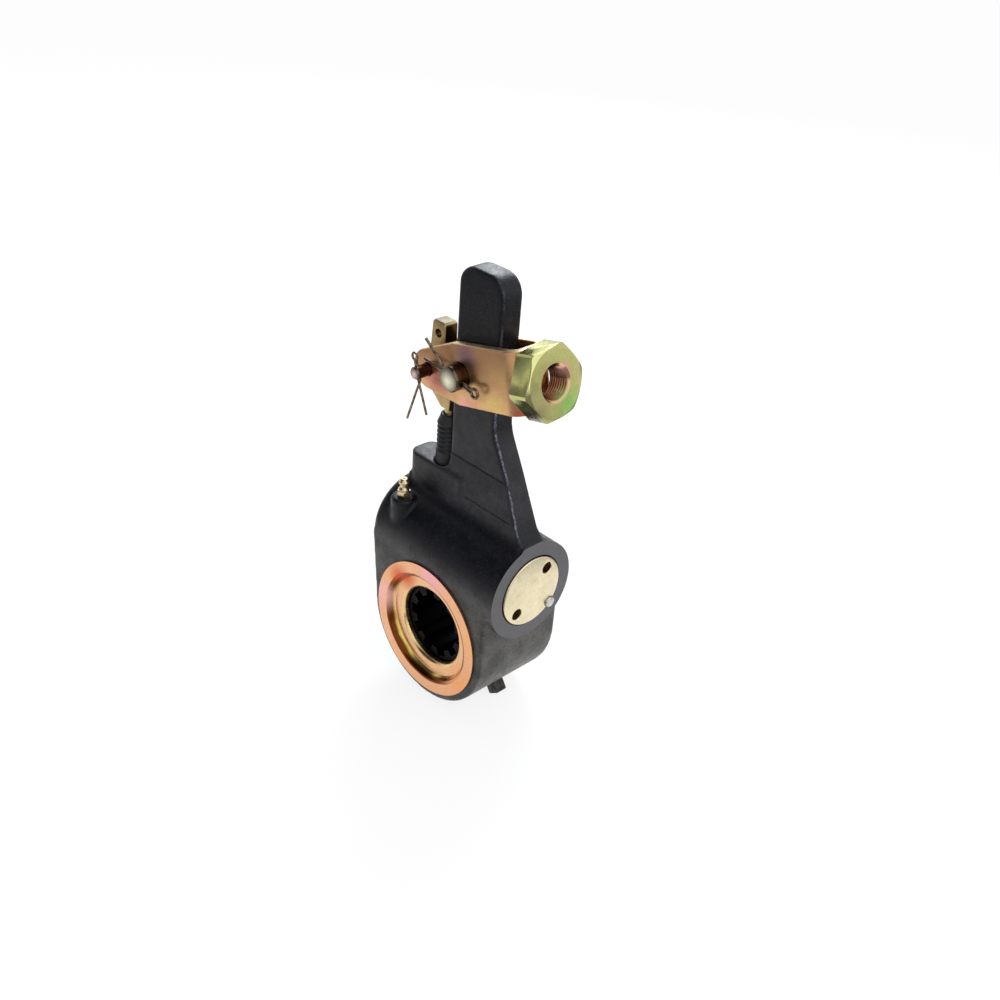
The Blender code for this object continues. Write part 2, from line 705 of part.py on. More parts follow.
def cut_housing(housing):
    """Bores for the wheel, worm, rack, boot, pins and fittings."""
    past = BODY_HALF_DEPTH + 5 * MM
    seat = BODY_HALF_DEPTH - COVER_DEPTH - 0.5 * MM
    cut(housing, turned([(0, -past), (COVER_SEAT, -past), (COVER_SEAT, -seat), (WHEEL_BORE, -seat),
                         (WHEEL_BORE, seat), (COVER_SEAT, seat), (COVER_SEAT, past), (0, past)],
                        "Y", FINE_COUNT, closed=False))

    step = WORM_LEFT - 0.8 * MM
    bore = [(0, BARREL_LEFT - 5 * MM), (LEFT_BORE, BARREL_LEFT - 5 * MM), (LEFT_BORE, step),
            (WORM_BORE, step), (WORM_BORE, CAP_SEAT - FIT), (CAP_BORE, CAP_SEAT - FIT),
            (CAP_BORE, BARREL_RIGHT + 5 * MM), (0, BARREL_RIGHT + 5 * MM)]
    cut(housing, moved(turned(bore, "X", MEDIUM_COUNT, closed=False), z=CENTRE_DISTANCE))

    foot = RACK_FOOT - PLUNGER_DROP - 3 * MM
    above = SHOULDER_TOP + SHOULDER_FILLET + 3 * MM
    well = [(0, foot), (RACK_BORE, foot), (RACK_BORE, RACK_BORE_TOP), (STEM_BORE, RACK_BORE_TOP),
            (STEM_BORE, above), (0, above)]
    cut(housing, moved(turned(well, "Z", MEDIUM_COUNT, closed=False), x=RACK_X))

    cut(housing, moved(rod(ARM_HOLE, -past, past, "Y", COARSE_COUNT), z=ARM_LENGTH))
    cut(housing, lock_pin_shape(LOCK_PIN_RADIUS + FIT, LOCK_PIN_DEPTH + FIT))

    thread = GREASE_THREAD + FIT
    bottom = GREASE_BOSS_TOP - GREASE_THREAD_LENGTH - 1 * MM
    cut(housing, moved(rod(thread, bottom, GREASE_BOSS_TOP + 5 * MM, "Z", 12), GREASE_X, GREASE_Y))
    start = Vector((GREASE_X, GREASE_Y, bottom + 1 * MM))
    end = Vector((RACK_X, 0, CENTRE_DISTANCE + PINION_TIP))
    cut(housing, tube([start, end], 1.5 * MM, 8))

    plug = rod(PLUG_SHANK + FIT, WHEEL_BORE - 3 * MM, BODY_RADIUS + 3 * MM, "X", 16)
    cut(housing, turn_to_plug(plug))


def lock_pin_shape(radius, depth):
    y = LOCK_PIN_PITCH * math.cos(LOCK_PIN_ANGLE)
    z = CENTRE_DISTANCE + LOCK_PIN_PITCH * math.sin(LOCK_PIN_ANGLE)
    low = BARREL_RIGHT - depth
    high = BARREL_RIGHT + LOCK_PIN_STANDS_OUT
    return moved(rod(radius, low, high, "X", 16), y=y, z=z)


def turn_to_plug(bm):
    """Take a shape that lies along +X to the plug's place on the body."""
    bmesh.ops.rotate(bm, verts=bm.verts, cent=(0, 0, 0), matrix=Matrix.Rotation(-PLUG_ANGLE, 3, "Y"))
    return moved(bm, y=PLUG_Y)


# Wheel, its bushes, seals and covers

def make_wheel():
    wheel = piece("worm_wheel", helical_wheel(), DARK_STEEL)
    shoulder = HUB_HALF_LENGTH - HUB_STEP
    waist = WHEEL_ROOT - 0.5 * MM
    half = [(waist, WHEEL_HALF_WIDTH - 1 * MM), (waist, WHEEL_HALF_WIDTH), (HUB_RADIUS, WHEEL_HALF_WIDTH),
            (HUB_RADIUS, shoulder), (HUB_FACE_RADIUS, shoulder), (HUB_FACE_RADIUS, HUB_HALF_LENGTH),
            (0, HUB_HALF_LENGTH)]
    hub = [(radius, -along) for radius, along in reversed(half)] + half
    join(wheel, turned(hub, "Y", FINE_COUNT, closed=False))
    cut(wheel, prism(spline_outline(), -2 * HUB_HALF_LENGTH, 2 * HUB_HALF_LENGTH, "Y"))
    smooth_round(wheel, 30)


def make_wheel_side(side, name):
    """Bush, seal and cover of one side. Side is -1 for the front, +1 for the rear."""
    inner = WHEEL_HALF_WIDTH + 0.5 * MM
    shoulder = HUB_HALF_LENGTH - HUB_STEP
    ends = sorted((side * inner, side * shoulder))
    bush = piece(name + "_bush", ring(HUB_RADIUS + FIT, BUSH_RADIUS, *ends, "Y", FINE_COUNT), BRONZE)
    smooth_round(bush)

    dish = BODY_HALF_DEPTH + FIT - COVER_DEPTH
    ends = sorted((side * (shoulder + FIT), side * (dish - COVER_SHEET - FIT)))
    seal = piece(name + "_seal", ring(SEAL_INNER, WHEEL_BORE - FIT, *ends, "Y", MEDIUM_COUNT), RUBBER)
    smooth_round(seal)

    rim = BODY_HALF_DEPTH + FIT
    line = [(COVER_RADIUS, rim), (COVER_SEAT - 1.1 * MM, rim), (COVER_SEAT - 2.0 * MM, rim - 1.0 * MM),
            (COVER_SEAT - 2.9 * MM, dish + 0.8 * MM), (COVER_SEAT - 4.0 * MM, dish),
            (COVER_HOLE + 2.2 * MM, dish), (COVER_HOLE + 1.0 * MM, dish - 0.7 * MM),
            (COVER_HOLE + 0.9 * MM, HUB_HALF_LENGTH + 0.7 * MM)]
    face = sheet(line, COVER_SHEET)
    profile = [(radius, side * along) for radius, along in face]
    cover = piece(name + "_cover", turned(profile, "Y", FINE_COUNT), YELLOW_ZINC)
    smooth_round(cover, 45)


def sheet(line, thickness):
    """A closed section that follows a line of (radius, along) points, the sheet on its left side."""
    near = []
    far = []
    for index, point in enumerate(line):
        here = Vector(point)
        ahead = Vector(line[min(index + 1, len(line) - 1)]) - here
        behind = here - Vector(line[max(index - 1, 0)])
        first = (behind if behind.length > 0 else ahead).normalized()
        second = (ahead if ahead.length > 0 else behind).normalized()
        bisector = (first + second).normalized()
        normal = Vector((bisector.y, -bisector.x))
        reach = thickness / max(0.5, bisector.dot(first))
        near.append(tuple(here))
        far.append(tuple(here + normal * reach))
    return near + list(reversed(far))


# Worm shaft and what sits on it

def make_worm():
    worm = piece("worm_shaft", worm_thread(), DARK_STEEL)
    blank = rod(WORM_TIP + 1 * MM, WORM_LEFT, WORM_RIGHT, "X", MEDIUM_COUNT)
    combine(worm, moved(blank, z=CENTRE_DISTANCE), "INTERSECT")
    end = CAP_SEAT - 1.2 * MM
    shaft = [(0, SPINDLE_LEFT), (SPINDLE_RADIUS, SPINDLE_LEFT), (SPINDLE_RADIUS, PINION_RIGHT + FIT),
             (SPINDLE_RADIUS + 1.8 * MM, PINION_RIGHT + FIT), (SPINDLE_RADIUS + 1.8 * MM, WORM_LEFT),
             (WORM_ROOT - 0.4 * MM, WORM_LEFT - FIT), (WORM_ROOT - 0.4 * MM, WORM_RIGHT + FIT),
             (RIGHT_JOURNAL, WORM_RIGHT + FIT), (RIGHT_JOURNAL, end), (0, end)]
    join(worm, moved(turned(shaft, "X", COARSE_COUNT, closed=False), z=CENTRE_DISTANCE))
    smooth_round(worm, 30)

    journal_end = LEFT_BUSH_END + LEFT_BUSH_LENGTH
    outside = BARREL_LEFT - 1.0 * MM
    hexagon = prism(polygon(6, HEX_ACROSS_FLATS, math.pi / 6), HEX_LEFT, outside, "X")
    key = piece("adjusting_hex", moved(hexagon, z=CENTRE_DISTANCE), BRIGHT_STEEL)
    join(key, moved(rod(HEX_JOURNAL, outside - 1 * MM, journal_end, "X", COARSE_COUNT), z=CENTRE_DISTANCE))
    cut(key, moved(rod(SPINDLE_BORE, SPINDLE_LEFT - FIT, journal_end + 1 * MM, "X", COARSE_COUNT),
                   z=CENTRE_DISTANCE))
    smooth_round(key)

    bush = ring(HEX_JOURNAL + FIT, LEFT_BORE - FIT, LEFT_BUSH_END, journal_end, "X", COARSE_COUNT)
    smooth_round(piece("worm_bush", moved(bush, z=CENTRE_DISTANCE), BRONZE))
    seal_left = LEFT_BUSH_END - FIT - HEX_SEAL_THICKNESS
    seal = ring(HEX_JOURNAL + FIT, LEFT_BORE - FIT, seal_left, LEFT_BUSH_END - FIT, "X", COARSE_COUNT)
    smooth_round(piece("hex_seal", moved(seal, z=CENTRE_DISTANCE), RUBBER))


def make_clutch():
    """Pinion that the rack turns, and the wrap spring that grips its hub."""
    left = LEFT_BUSH_END + LEFT_BUSH_LENGTH + FIT
    outline = gear_outline(RACK_MODULE, PINION_TEETH, FLANK_PLAY, 0, flank_steps=1)
    teeth = prism(outline, PINION_LEFT, PINION_RIGHT, "X")
    pinion = piece("rack_pinion", moved(teeth, z=CENTRE_DISTANCE), BRIGHT_STEEL)
    join(pinion, moved(rod(PINION_HUB, left, PINION_LEFT + 1 * MM, "X", COARSE_COUNT), z=CENTRE_DISTANCE))
    cut(pinion, moved(rod(SPINDLE_BORE, left - 1 * MM, PINION_RIGHT + 1 * MM, "X", COARSE_COUNT),
                      z=CENTRE_DISTANCE))
    smooth_round(pinion)

    first = left + 2 * CLUTCH_WIRE
    last = PINION_LEFT - 2 * CLUTCH_WIRE
    coil = helix(PINION_HUB + FIT + CLUTCH_WIRE, first, last, CLUTCH_TURNS, 12)
    spring = tube(coil, CLUTCH_WIRE, 4)
    smooth_round(piece("clutch_spring", moved(spring, z=CENTRE_DISTANCE), BRIGHT_STEEL), 80)


def helix(radius, low, high, turns, steps):
    points = []
    for index in range(turns * steps + 1):
        share = index / (turns * steps)
        angle = 2 * math.pi * turns * share
        along = low + (high - low) * share
        points.append(Vector((along, radius * math.cos(angle), radius * math.sin(angle))))
    return points


def make_thrust_pack():
    """Right bush, ball thrust race, preload spring and seat, between the worm and the cap."""
    inner = RIGHT_JOURNAL + FIT
    outer = WORM_BORE - FIT
    beside_wheel = math.sqrt(WHEEL_TIP ** 2 - (CENTRE_DISTANCE - outer) ** 2)
    x = max(WORM_RIGHT + FIT, beside_wheel) + 2 * FIT
    bush = ring(inner, outer, x, x + RIGHT_BUSH_LENGTH, "X", MEDIUM_COUNT)
    smooth_round(piece("thrust_bush", moved(bush, z=CENTRE_DISTANCE), BRONZE))
    x += RIGHT_BUSH_LENGTH + FIT
    race = ring(inner, outer, x, x + RACE_THICKNESS, "X", MEDIUM_COUNT)
    smooth_round(piece("thrust_race_left", moved(race, z=CENTRE_DISTANCE), BRIGHT_STEEL))
    x += RACE_THICKNESS + FIT + BALL_RADIUS
    pitch = (inner + outer) / 2
    cage = ring(inner + 1 * MM, outer - 1 * MM, x - 0.6 * MM, x + 0.6 * MM, "X", COARSE_COUNT)
    cage = piece("thrust_cage", moved(cage, z=CENTRE_DISTANCE), BRIGHT_STEEL)
    for index in range(BALL_COUNT):
        angle = 2 * math.pi * index / BALL_COUNT
        ball = bmesh.new()
        bmesh.ops.create_uvsphere(ball, u_segments=6, v_segments=4, radius=BALL_RADIUS)
        join(cage, moved(ball, x, pitch * math.cos(angle), CENTRE_DISTANCE + pitch * math.sin(angle)))
    smooth_round(cage)
    x += BALL_RADIUS + FIT
    race = ring(inner, outer, x, x + RACE_THICKNESS, "X", MEDIUM_COUNT)
    smooth_round(piece("thrust_race_right", moved(race, z=CENTRE_DISTANCE), BRIGHT_STEEL))
    x += RACE_THICKNESS + FIT
    seat_left = CAP_SEAT - 2 * FIT - SEAT_THICKNESS
    coil = helix(WORM_BORE - 2 * FIT - PRELOAD_WIRE, x + PRELOAD_WIRE, seat_left - FIT - PRELOAD_WIRE,
                 PRELOAD_TURNS, 20)
    smooth_round(piece("preload_spring", moved(tube(coil, PRELOAD_WIRE, 5), z=CENTRE_DISTANCE),
                       DARK_STEEL), 80)
    seat = ring(inner, outer, seat_left, seat_left + SEAT_THICKNESS, "X", MEDIUM_COUNT)
    smooth_round(piece("spring_seat", moved(seat, z=CENTRE_DISTANCE), BRIGHT_STEEL))


def make_cap():
    """Threaded cap with two blind spanner holes, its O-ring and the pin that locks it."""
    face = CAP_SEAT + CAP_LENGTH
    groove = CAP_SEAT + 0.8 * MM
    width = 2 * O_RING_RADIUS + 2 * FIT
    deep = CAP_RADIUS - 2 * O_RING_RADIUS - FIT
    profile = [(0, CAP_SEAT), (CAP_RADIUS, CAP_SEAT), (CAP_RADIUS, groove), (deep, groove),
               (deep, groove + width), (CAP_RADIUS, groove + width), (CAP_RADIUS, face - 0.7 * MM),
               (CAP_RADIUS - 0.7 * MM, face - 0.2 * MM), (CAP_RADIUS / 2, face - 0.05 * MM), (0, face)]
    body = turned(profile, "X", FINE_COUNT, closed=False)
    cap = piece("worm_cap", moved(body, z=CENTRE_DISTANCE), PALE_ZINC)
    for turn in (0, math.pi):
        angle = CAP_HOLE_ANGLE + turn
        hole = rod(CAP_HOLE_RADIUS, face - CAP_HOLE_DEPTH, face + 1 * MM, "X", 16)
        cut(cap, moved(hole, y=CAP_HOLE_PITCH * math.cos(angle),
                       z=CENTRE_DISTANCE + CAP_HOLE_PITCH * math.sin(angle)))
    cut(cap, lock_pin_shape(LOCK_PIN_RADIUS + FIT, LOCK_PIN_DEPTH + FIT))
    smooth_round(cap)

    middle = groove + width / 2
    circle = arc((CAP_RADIUS - O_RING_RADIUS, middle), O_RING_RADIUS, 0, 2 * math.pi, 6)[:-1]
    o_ring = piece("cap_o_ring", moved(turned(circle, "X", MEDIUM_COUNT), z=CENTRE_DISTANCE), RUBBER)
    smooth_round(o_ring, 80)
    lock_pin = piece("cap_lock_pin", lock_pin_shape(LOCK_PIN_RADIUS, LOCK_PIN_DEPTH), BRIGHT_STEEL)
    smooth_round(lock_pin)


# Rack plunger and its collar

def make_rack():
    """Plunger whose long foot carries the rack teeth, with a ball socket in its stem."""
    column = rod(PLUNGER_RADIUS, RACK_FOOT, FLANGE_TOP, "Z", MEDIUM_COUNT)
    rack = piece("rack_plunger", moved(column, x=RACK_X), DARK_STEEL)
    away = 2 * PLUNGER_RADIUS
    tooth_tip = PINION_PITCH_RADIUS - RACK_MODULE
    below = RACK_FOOT - 1 * MM
    front = prism([(RACK_X - away, -away), (RACK_X + away, -away), (RACK_X + away, tooth_tip),
                   (RACK_X - away, tooth_tip)], below, FLANGE_BOTTOM, "Z")
    cut(rack, front)
    for start, end in ((RACK_X - away, PINION_LEFT - FIT), (RACK_SIDE, RACK_X + away)):
        side = prism([(start, -away), (end, -away), (end, away), (start, away)], below, FLANGE_BOTTOM, "Z")
        cut(rack, side)
    for gap in rack_teeth_cutter():
        cut(rack, gap)
    join(rack, moved(rod(PLUNGER_STEM, FLANGE_TOP - 1 * MM, STEM_TOP, "Z", MEDIUM_COUNT), x=RACK_X))
    floor = LINK_BALL_HEIGHT - SOCKET_RADIUS
    well = [(0, floor), (SOCKET_RADIUS * 0.6, floor), (SOCKET_RADIUS, floor + SOCKET_RADIUS * 0.5),
            (SOCKET_RADIUS, STEM_TOP + 1 * MM), (0, STEM_TOP + 1 * MM)]
    cut(rack, moved(turned(well, "Z", COARSE_COUNT, closed=False), x=RACK_X))
    smooth_round(rack, 30)

    collar = ring(COLLAR_HOLE, SOCKET_RADIUS - FIT, STEM_TOP - COLLAR_LENGTH, STEM_TOP, "Z", COARSE_COUNT)
    smooth_round(piece("plunger_collar", moved(collar, x=RACK_X), BRIGHT_STEEL))


# Link, boot

def link_outline():
    """Head of the link in (x, z): narrow top, a body round the small pin, and a V down to the rod."""
    right = LINK_PIN_X + 8.2 * MM
    left = LINK_PIN_X - 9.6 * MM
    return rounded([
        (LINK_PIN_X - 6.8 * MM, LINK_TOP, 1.8 * MM),
        (left, LINK_PIN_Z - 12.6 * MM, 3.5 * MM),
        (RACK_X - LINK_ROD, LINK_FOOT, 0),
        (RACK_X + LINK_ROD, LINK_FOOT, 0),
        (right, LINK_PIN_Z - 14 * MM, 3 * MM),
        (right, LINK_PIN_Z + 5 * MM, 4 * MM),
        (LINK_PIN_X + 2.6 * MM, LINK_PIN_Z + 12 * MM, 3 * MM),
        (LINK_PIN_X + 2.4 * MM, LINK_TOP, 1.8 * MM),
    ], 3)


def make_link():
    centre = Vector((LINK_PIN_X, 0, LINK_PIN_Z))
    local = [(x - centre.x, z - centre.z) for x, z in link_outline()]
    head = prism(local, -LINK_HALF_THICKNESS, LINK_HALF_THICKNESS, "Y")
    link = piece("link", bevel_rims(head, "Y", 0.8 * MM, 1), YELLOW_ZINC, centre)
    x = RACK_X - centre.x
    foot = LINK_BALL_HEIGHT - centre.z
    into_head = 2 * MM - LINK_FOOT_DROP
    stalk = [(0, foot), (LINK_ROD, foot), (LINK_ROD, into_head), (0, into_head)]
    join(link, moved(turned(stalk, "Z", 16, closed=False), x=x))
    ball = bmesh.new()
    bmesh.ops.create_uvsphere(ball, u_segments=16, v_segments=10, radius=LINK_BALL)
    join(link, moved(ball, x=x, z=foot))
    cut(link, rod(LINK_PIN_RADIUS + FIT, -CLEVIS_OUTER, CLEVIS_OUTER, "Y", COARSE_COUNT))
    upper = LINK_TOP - 6 * MM - centre.z
    cut(link, moved(rod(LINK_HOLE, -CLEVIS_OUTER, CLEVIS_OUTER, "Y", 12), x=-2.3 * MM, z=upper))
    smooth_round(link)


def make_boot():
    """Rubber boot: a sleeve in the shoulder, folds above it and a neck round the link's rod."""
    foot = SHOULDER_TOP - BOOT_DEPTH
    above = BOOT_TOP - SHOULDER_TOP
    folds_start = SHOULDER_TOP + BOOT_LEAD_SHARE * above
    pitch = (1 - BOOT_LEAD_SHARE - BOOT_NECK_SHARE) * above / BOOT_FOLDS
    taper = BOOT_TOP - 0.4 * BOOT_NECK_SHARE * above
    neck = LINK_ROD + FIT
    outer = [(BOOT_RADIUS, foot), (BOOT_RADIUS, folds_start)]
    inner = [(BOOT_RADIUS - BOOT_WALL, foot), (BOOT_RADIUS - BOOT_WALL, folds_start)]
    for fold in range(BOOT_FOLDS):
        valley = folds_start + (fold + 0.5) * pitch
        ridge = folds_start + (fold + 1) * pitch
        outer += [(BOOT_RADIUS - BOOT_FOLD_DEPTH, valley), (BOOT_RADIUS, ridge)]
        inner += [(BOOT_RADIUS - BOOT_FOLD_DEPTH - BOOT_WALL, valley), (BOOT_RADIUS - BOOT_WALL, ridge)]
    outer += [(BOOT_RADIUS - BOOT_FOLD_DEPTH, taper), (neck + BOOT_WALL, BOOT_TOP), (neck, BOOT_TOP)]
    inner += [(neck, taper - BOOT_WALL / 2)]
    boot = turned(outer + list(reversed(inner)), "Z", BOOT_COUNT)
    smooth_round(piece("boot", moved(boot, x=RACK_X), RUBBER), 60)


# Clevis, nut, pins and cotters

def make_clevis(frame):
    """U-shaped strap: a bent section through s and y, trimmed to the side outline in s and t."""
    nose = LINK_PIN_ARM
    inner_bend = CLEVIS_BEND - CLEVIS_PLATE
    tail = -(nose + CLEVIS_NOSE_RADIUS + 2 * MM)
    floor = CLEVIS_BASE - CLEVIS_PLATE
    strap = rounded([
        (tail, -CLEVIS_OUTER, 0), (CLEVIS_BASE, -CLEVIS_OUTER, CLEVIS_BEND),
        (CLEVIS_BASE, CLEVIS_OUTER, CLEVIS_BEND), (tail, CLEVIS_OUTER, 0), (tail, CLEVIS_GAP, 0),
        (floor, CLEVIS_GAP, inner_bend), (floor, -CLEVIS_GAP, inner_bend), (tail, -CLEVIS_GAP, 0),
    ])
    bend = prism(strap, -CLEVIS_HALF_HEIGHT, CLEVIS_HALF_HEIGHT, "Z")
    yoke = piece("clevis", bend, YELLOW_ZINC, parent=frame)

    top = CLEVIS_HALF_HEIGHT + 1 * MM
    slope = math.atan2(CLEVIS_HALF_HEIGHT - CLEVIS_NOSE_RADIUS, nose + CLEVIS_TAPER_START)
    side = [(CLEVIS_BASE + 1 * MM, -top), (CLEVIS_BASE + 1 * MM, top), (CLEVIS_TAPER_START, top),
            (CLEVIS_TAPER_START, CLEVIS_HALF_HEIGHT)]
    side += arc((-nose, 0), CLEVIS_NOSE_RADIUS, math.pi / 2 + slope / 2, 3 * math.pi / 2 - slope / 2, 12)
    side += [(CLEVIS_TAPER_START, -CLEVIS_HALF_HEIGHT), (CLEVIS_TAPER_START, -top)]
    combine(yoke, prism(side, -2 * CLEVIS_OUTER, 2 * CLEVIS_OUTER, "Y"), "INTERSECT")

    across = 2 * CLEVIS_OUTER
    cut(yoke, rod(MAIN_PIN_RADIUS + FIT, -across, across, "Y", COARSE_COUNT))
    cut(yoke, moved(rod(LINK_PIN_RADIUS + FIT, -across, across, "Y", 16), x=-nose))
    cut(yoke, rod(NUT_BORE + 1 * MM, floor - 1 * MM, CLEVIS_BASE + 1 * MM, "X", COARSE_COUNT))
    smooth_round(yoke)

    near = CLEVIS_BASE + FIT
    face = near + NUT_LENGTH
    across_flats = NUT_ACROSS_CORNERS * math.cos(math.pi / 6)
    hexagon = prism(polygon(6, across_flats, math.pi / 2 - NUT_TURN), near, face, "X")
    nut = piece("push_rod_nut", hexagon, GREEN_ZINC, parent=frame)
    crown = turned([(0, near), (NUT_ACROSS_CORNERS / 2 + 1 * MM, near),
                    (NUT_ACROSS_CORNERS / 2 + 1 * MM, face - 1.6 * MM),
                    (across_flats / 2 - 0.3 * MM, face), (0, face)], "X", FINE_COUNT, closed=False)
    combine(nut, crown, "INTERSECT")
    cut(nut, turned([(0, near - 1 * MM), (NUT_BORE, near - 1 * MM), (NUT_BORE, face - NUT_CHAMFER + NUT_BORE),
                     (NUT_CHAMFER, face), (NUT_CHAMFER, face + 1 * MM), (0, face + 1 * MM)],
                    "X", MEDIUM_COUNT, closed=False))
    smooth_round(nut)


def headed_pin(radius, front, head_radius, steps):
    back = CLEVIS_OUTER + FIT
    chamfer = 0.8 * MM
    return turned([(0, front), (radius - chamfer, front), (radius, front + chamfer), (radius, back),
                   (head_radius, back), (head_radius, back + HEAD_THICKNESS - chamfer),
                   (head_radius - chamfer, back + HEAD_THICKNESS), (0, back + HEAD_THICKNESS)],
                  "Y", steps, closed=False)


def cotter(eye, upper_tip, lower_tip, wire):
    """Split pin in the XZ plane through its pin's axis: two legs, a round eye and spread ends."""
    line = eye.normalized()
    across = Vector((-line.z, 0, line.x))
    lie = wire + 0.06 * MM
    bow = 2.6 * wire
    reach = eye.length - bow
    leg_end = -1.25 * reach
    upper = [Vector(upper_tip), line * leg_end + across * lie, line * 0.55 * leg_end + across * lie,
             across * lie, line * (reach - bow * 0.3) + across * lie]
    loop = []
    for step in range(9):
        angle = math.radians(130 - 260 * step / 8)
        loop.append(line * (reach + bow + bow * math.cos(angle)) + across * bow * math.sin(angle))
    lower = [line * (reach - bow * 0.3) - across * lie, -across * lie,
             line * 0.55 * leg_end - across * lie, line * leg_end - across * lie, Vector(lower_tip)]
    path = smooth_path(upper + loop + lower, 2)
    return tube(path, wire, 5)


def cotter_points(eye, tips):
    """A cotter's eye and tips, given upright in millimetres, in the tilted axes of the clevis."""
    turn = Matrix.Rotation(CLEVIS_TILT, 3, "Y")
    return [turn @ Vector((x, 0, z)) * MM for x, z in (eye, *tips)]


def make_pins(frame):
    pin = headed_pin(MAIN_PIN_RADIUS, MAIN_PIN_FRONT, MAIN_PIN_HEAD, COARSE_COUNT)
    main = piece("clevis_pin", pin, PALE_ZINC, parent=frame)
    eye, upper, lower = cotter_points(MAIN_COTTER_EYE, MAIN_COTTER_TIPS)
    hole = tube([eye.normalized() * 12 * MM, eye.normalized() * -12 * MM], 2 * MAIN_COTTER_WIRE + FIT, 10)
    cut(main, moved(hole, y=MAIN_COTTER_Y))
    smooth_round(main)
    split = cotter(eye, upper, lower, MAIN_COTTER_WIRE)
    split = piece("clevis_pin_cotter", moved(split, y=MAIN_COTTER_Y), DARK_STEEL, parent=frame)
    smooth_round(split, 80)

    small = headed_pin(LINK_PIN_RADIUS, LINK_PIN_FRONT, LINK_PIN_HEAD, 16)
    small = piece("link_pin", small, PALE_ZINC, (-LINK_PIN_ARM, 0, 0), frame)
    eye, upper, lower = cotter_points(LINK_COTTER_EYE, LINK_COTTER_TIPS)
    hole = tube([eye.normalized() * 6 * MM, eye.normalized() * -6 * MM], 2 * LINK_COTTER_WIRE + FIT, 8)
    cut(small, moved(hole, y=LINK_COTTER_Y))
    smooth_round(small)
    split = cotter(eye, upper, lower, LINK_COTTER_WIRE)
    split = piece("link_pin_cotter", moved(split, y=LINK_COTTER_Y), DARK_STEEL,
                  (-LINK_PIN_ARM, 0, 0), frame)
    smooth_round(split, 80)


# Grease fitting, plug and arm bush

def make_fittings():
    top = GREASE_BOSS_TOP
    hexagon = prism(polygon(6, GREASE_HEX), top + FIT, top + 3.4 * MM, "Z")
    fitting = piece("grease_fitting", hexagon, PALE_ZINC, (GREASE_X, GREASE_Y, 0))
    nipple = [(0, top - GREASE_THREAD_LENGTH), (GREASE_THREAD, top - GREASE_THREAD_LENGTH),
              (GREASE_THREAD, top + 4.4 * MM), (2.1 * MM, top + 5.6 * MM), (2.1 * MM, top + 6.6 * MM),
              (3.0 * MM, top + 7.6 * MM), (3.0 * MM, top + 8.4 * MM), (1.7 * MM, top + 10 * MM),
              (0, top + 10 * MM)]
    join(fitting, turned(nipple, "Z", 16, closed=False))
    cut(fitting, rod(0.7 * MM, top - GREASE_THREAD_LENGTH - 1 * MM, top + 11 * MM, "Z", 8))
    smooth_round(fitting)

    shank = rod(PLUG_SHANK, WHEEL_BORE + 2 * MM, BODY_RADIUS + 1 * MM, "X", 16)
    plug = piece("lube_plug", turn_to_plug(shank), BLACK_PAINT)
    half = PLUG_SQUARE / 2
    square = rounded([(-half, -half, 1 * MM), (half, -half, 1 * MM), (half, half, 1 * MM),
                      (-half, half, 1 * MM)], 2)
    head = prism(square, BODY_RADIUS + 0.5 * MM, BODY_RADIUS + PLUG_HEAD, "X")
    join(plug, turn_to_plug(head))
    smooth_round(plug)

    half = ARM_HALF_THICKNESS
    sleeve = ring(MAIN_PIN_RADIUS + FIT, ARM_BUSH_RADIUS, -half, half, "Y", COARSE_COUNT)
    smooth_round(piece("arm_bush", sleeve, BRONZE, (0, 0, ARM_LENGTH)))


make_housing()
make_wheel()
make_wheel_side(-1, "front")
make_wheel_side(1, "rear")
make_worm()
make_clutch()
make_thrust_pack()
make_cap()
make_rack()
make_link()
make_boot()
clevis_frame = pivot("clevis_pivot", (0, 0, ARM_LENGTH), -CLEVIS_TILT)
make_clevis(clevis_frame)
make_pins(clevis_frame)
make_fittings()
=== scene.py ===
# The brake slack adjuster's looks: its castings, plated pieces and rubber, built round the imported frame.
import math

import bmesh
import bpy
from mathutils import Matrix, Vector


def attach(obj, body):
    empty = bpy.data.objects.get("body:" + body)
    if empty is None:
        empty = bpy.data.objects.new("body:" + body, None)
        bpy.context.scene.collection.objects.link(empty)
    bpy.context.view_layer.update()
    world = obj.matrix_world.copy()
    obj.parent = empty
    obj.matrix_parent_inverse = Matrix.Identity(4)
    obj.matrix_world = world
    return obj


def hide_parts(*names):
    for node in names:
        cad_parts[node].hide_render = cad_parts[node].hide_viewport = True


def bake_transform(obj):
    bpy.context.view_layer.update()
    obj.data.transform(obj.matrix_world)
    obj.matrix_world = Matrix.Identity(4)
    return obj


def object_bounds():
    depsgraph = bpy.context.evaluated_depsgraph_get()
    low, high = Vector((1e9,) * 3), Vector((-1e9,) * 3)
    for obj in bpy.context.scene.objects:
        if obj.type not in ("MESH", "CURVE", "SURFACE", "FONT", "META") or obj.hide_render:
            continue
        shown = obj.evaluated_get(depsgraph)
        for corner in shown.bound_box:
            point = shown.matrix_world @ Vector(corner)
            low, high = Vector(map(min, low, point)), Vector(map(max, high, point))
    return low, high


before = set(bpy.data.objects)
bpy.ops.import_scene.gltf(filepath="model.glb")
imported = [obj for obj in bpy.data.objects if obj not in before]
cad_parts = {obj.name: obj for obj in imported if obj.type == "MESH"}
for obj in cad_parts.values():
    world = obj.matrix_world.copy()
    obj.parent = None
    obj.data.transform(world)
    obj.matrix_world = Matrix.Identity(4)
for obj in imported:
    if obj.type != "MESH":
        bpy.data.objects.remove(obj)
cad_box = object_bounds()

MM = 0.001
WELD = 0.001 * MM
CLEARANCE = 0.3 * MM
# How far a cutter reaches past the face that it opens
PAST = 5.0 * MM

# Camera of the photograph, in millimetres and degrees
CAMERA_PLACE = Vector((367.92, -357.81, 384.66)) * MM
CAMERA_TURN = 44.17
CAMERA_RISE = 31.6
CAMERA_ROLL = 4.55
CAMERA_LENS = 43.63

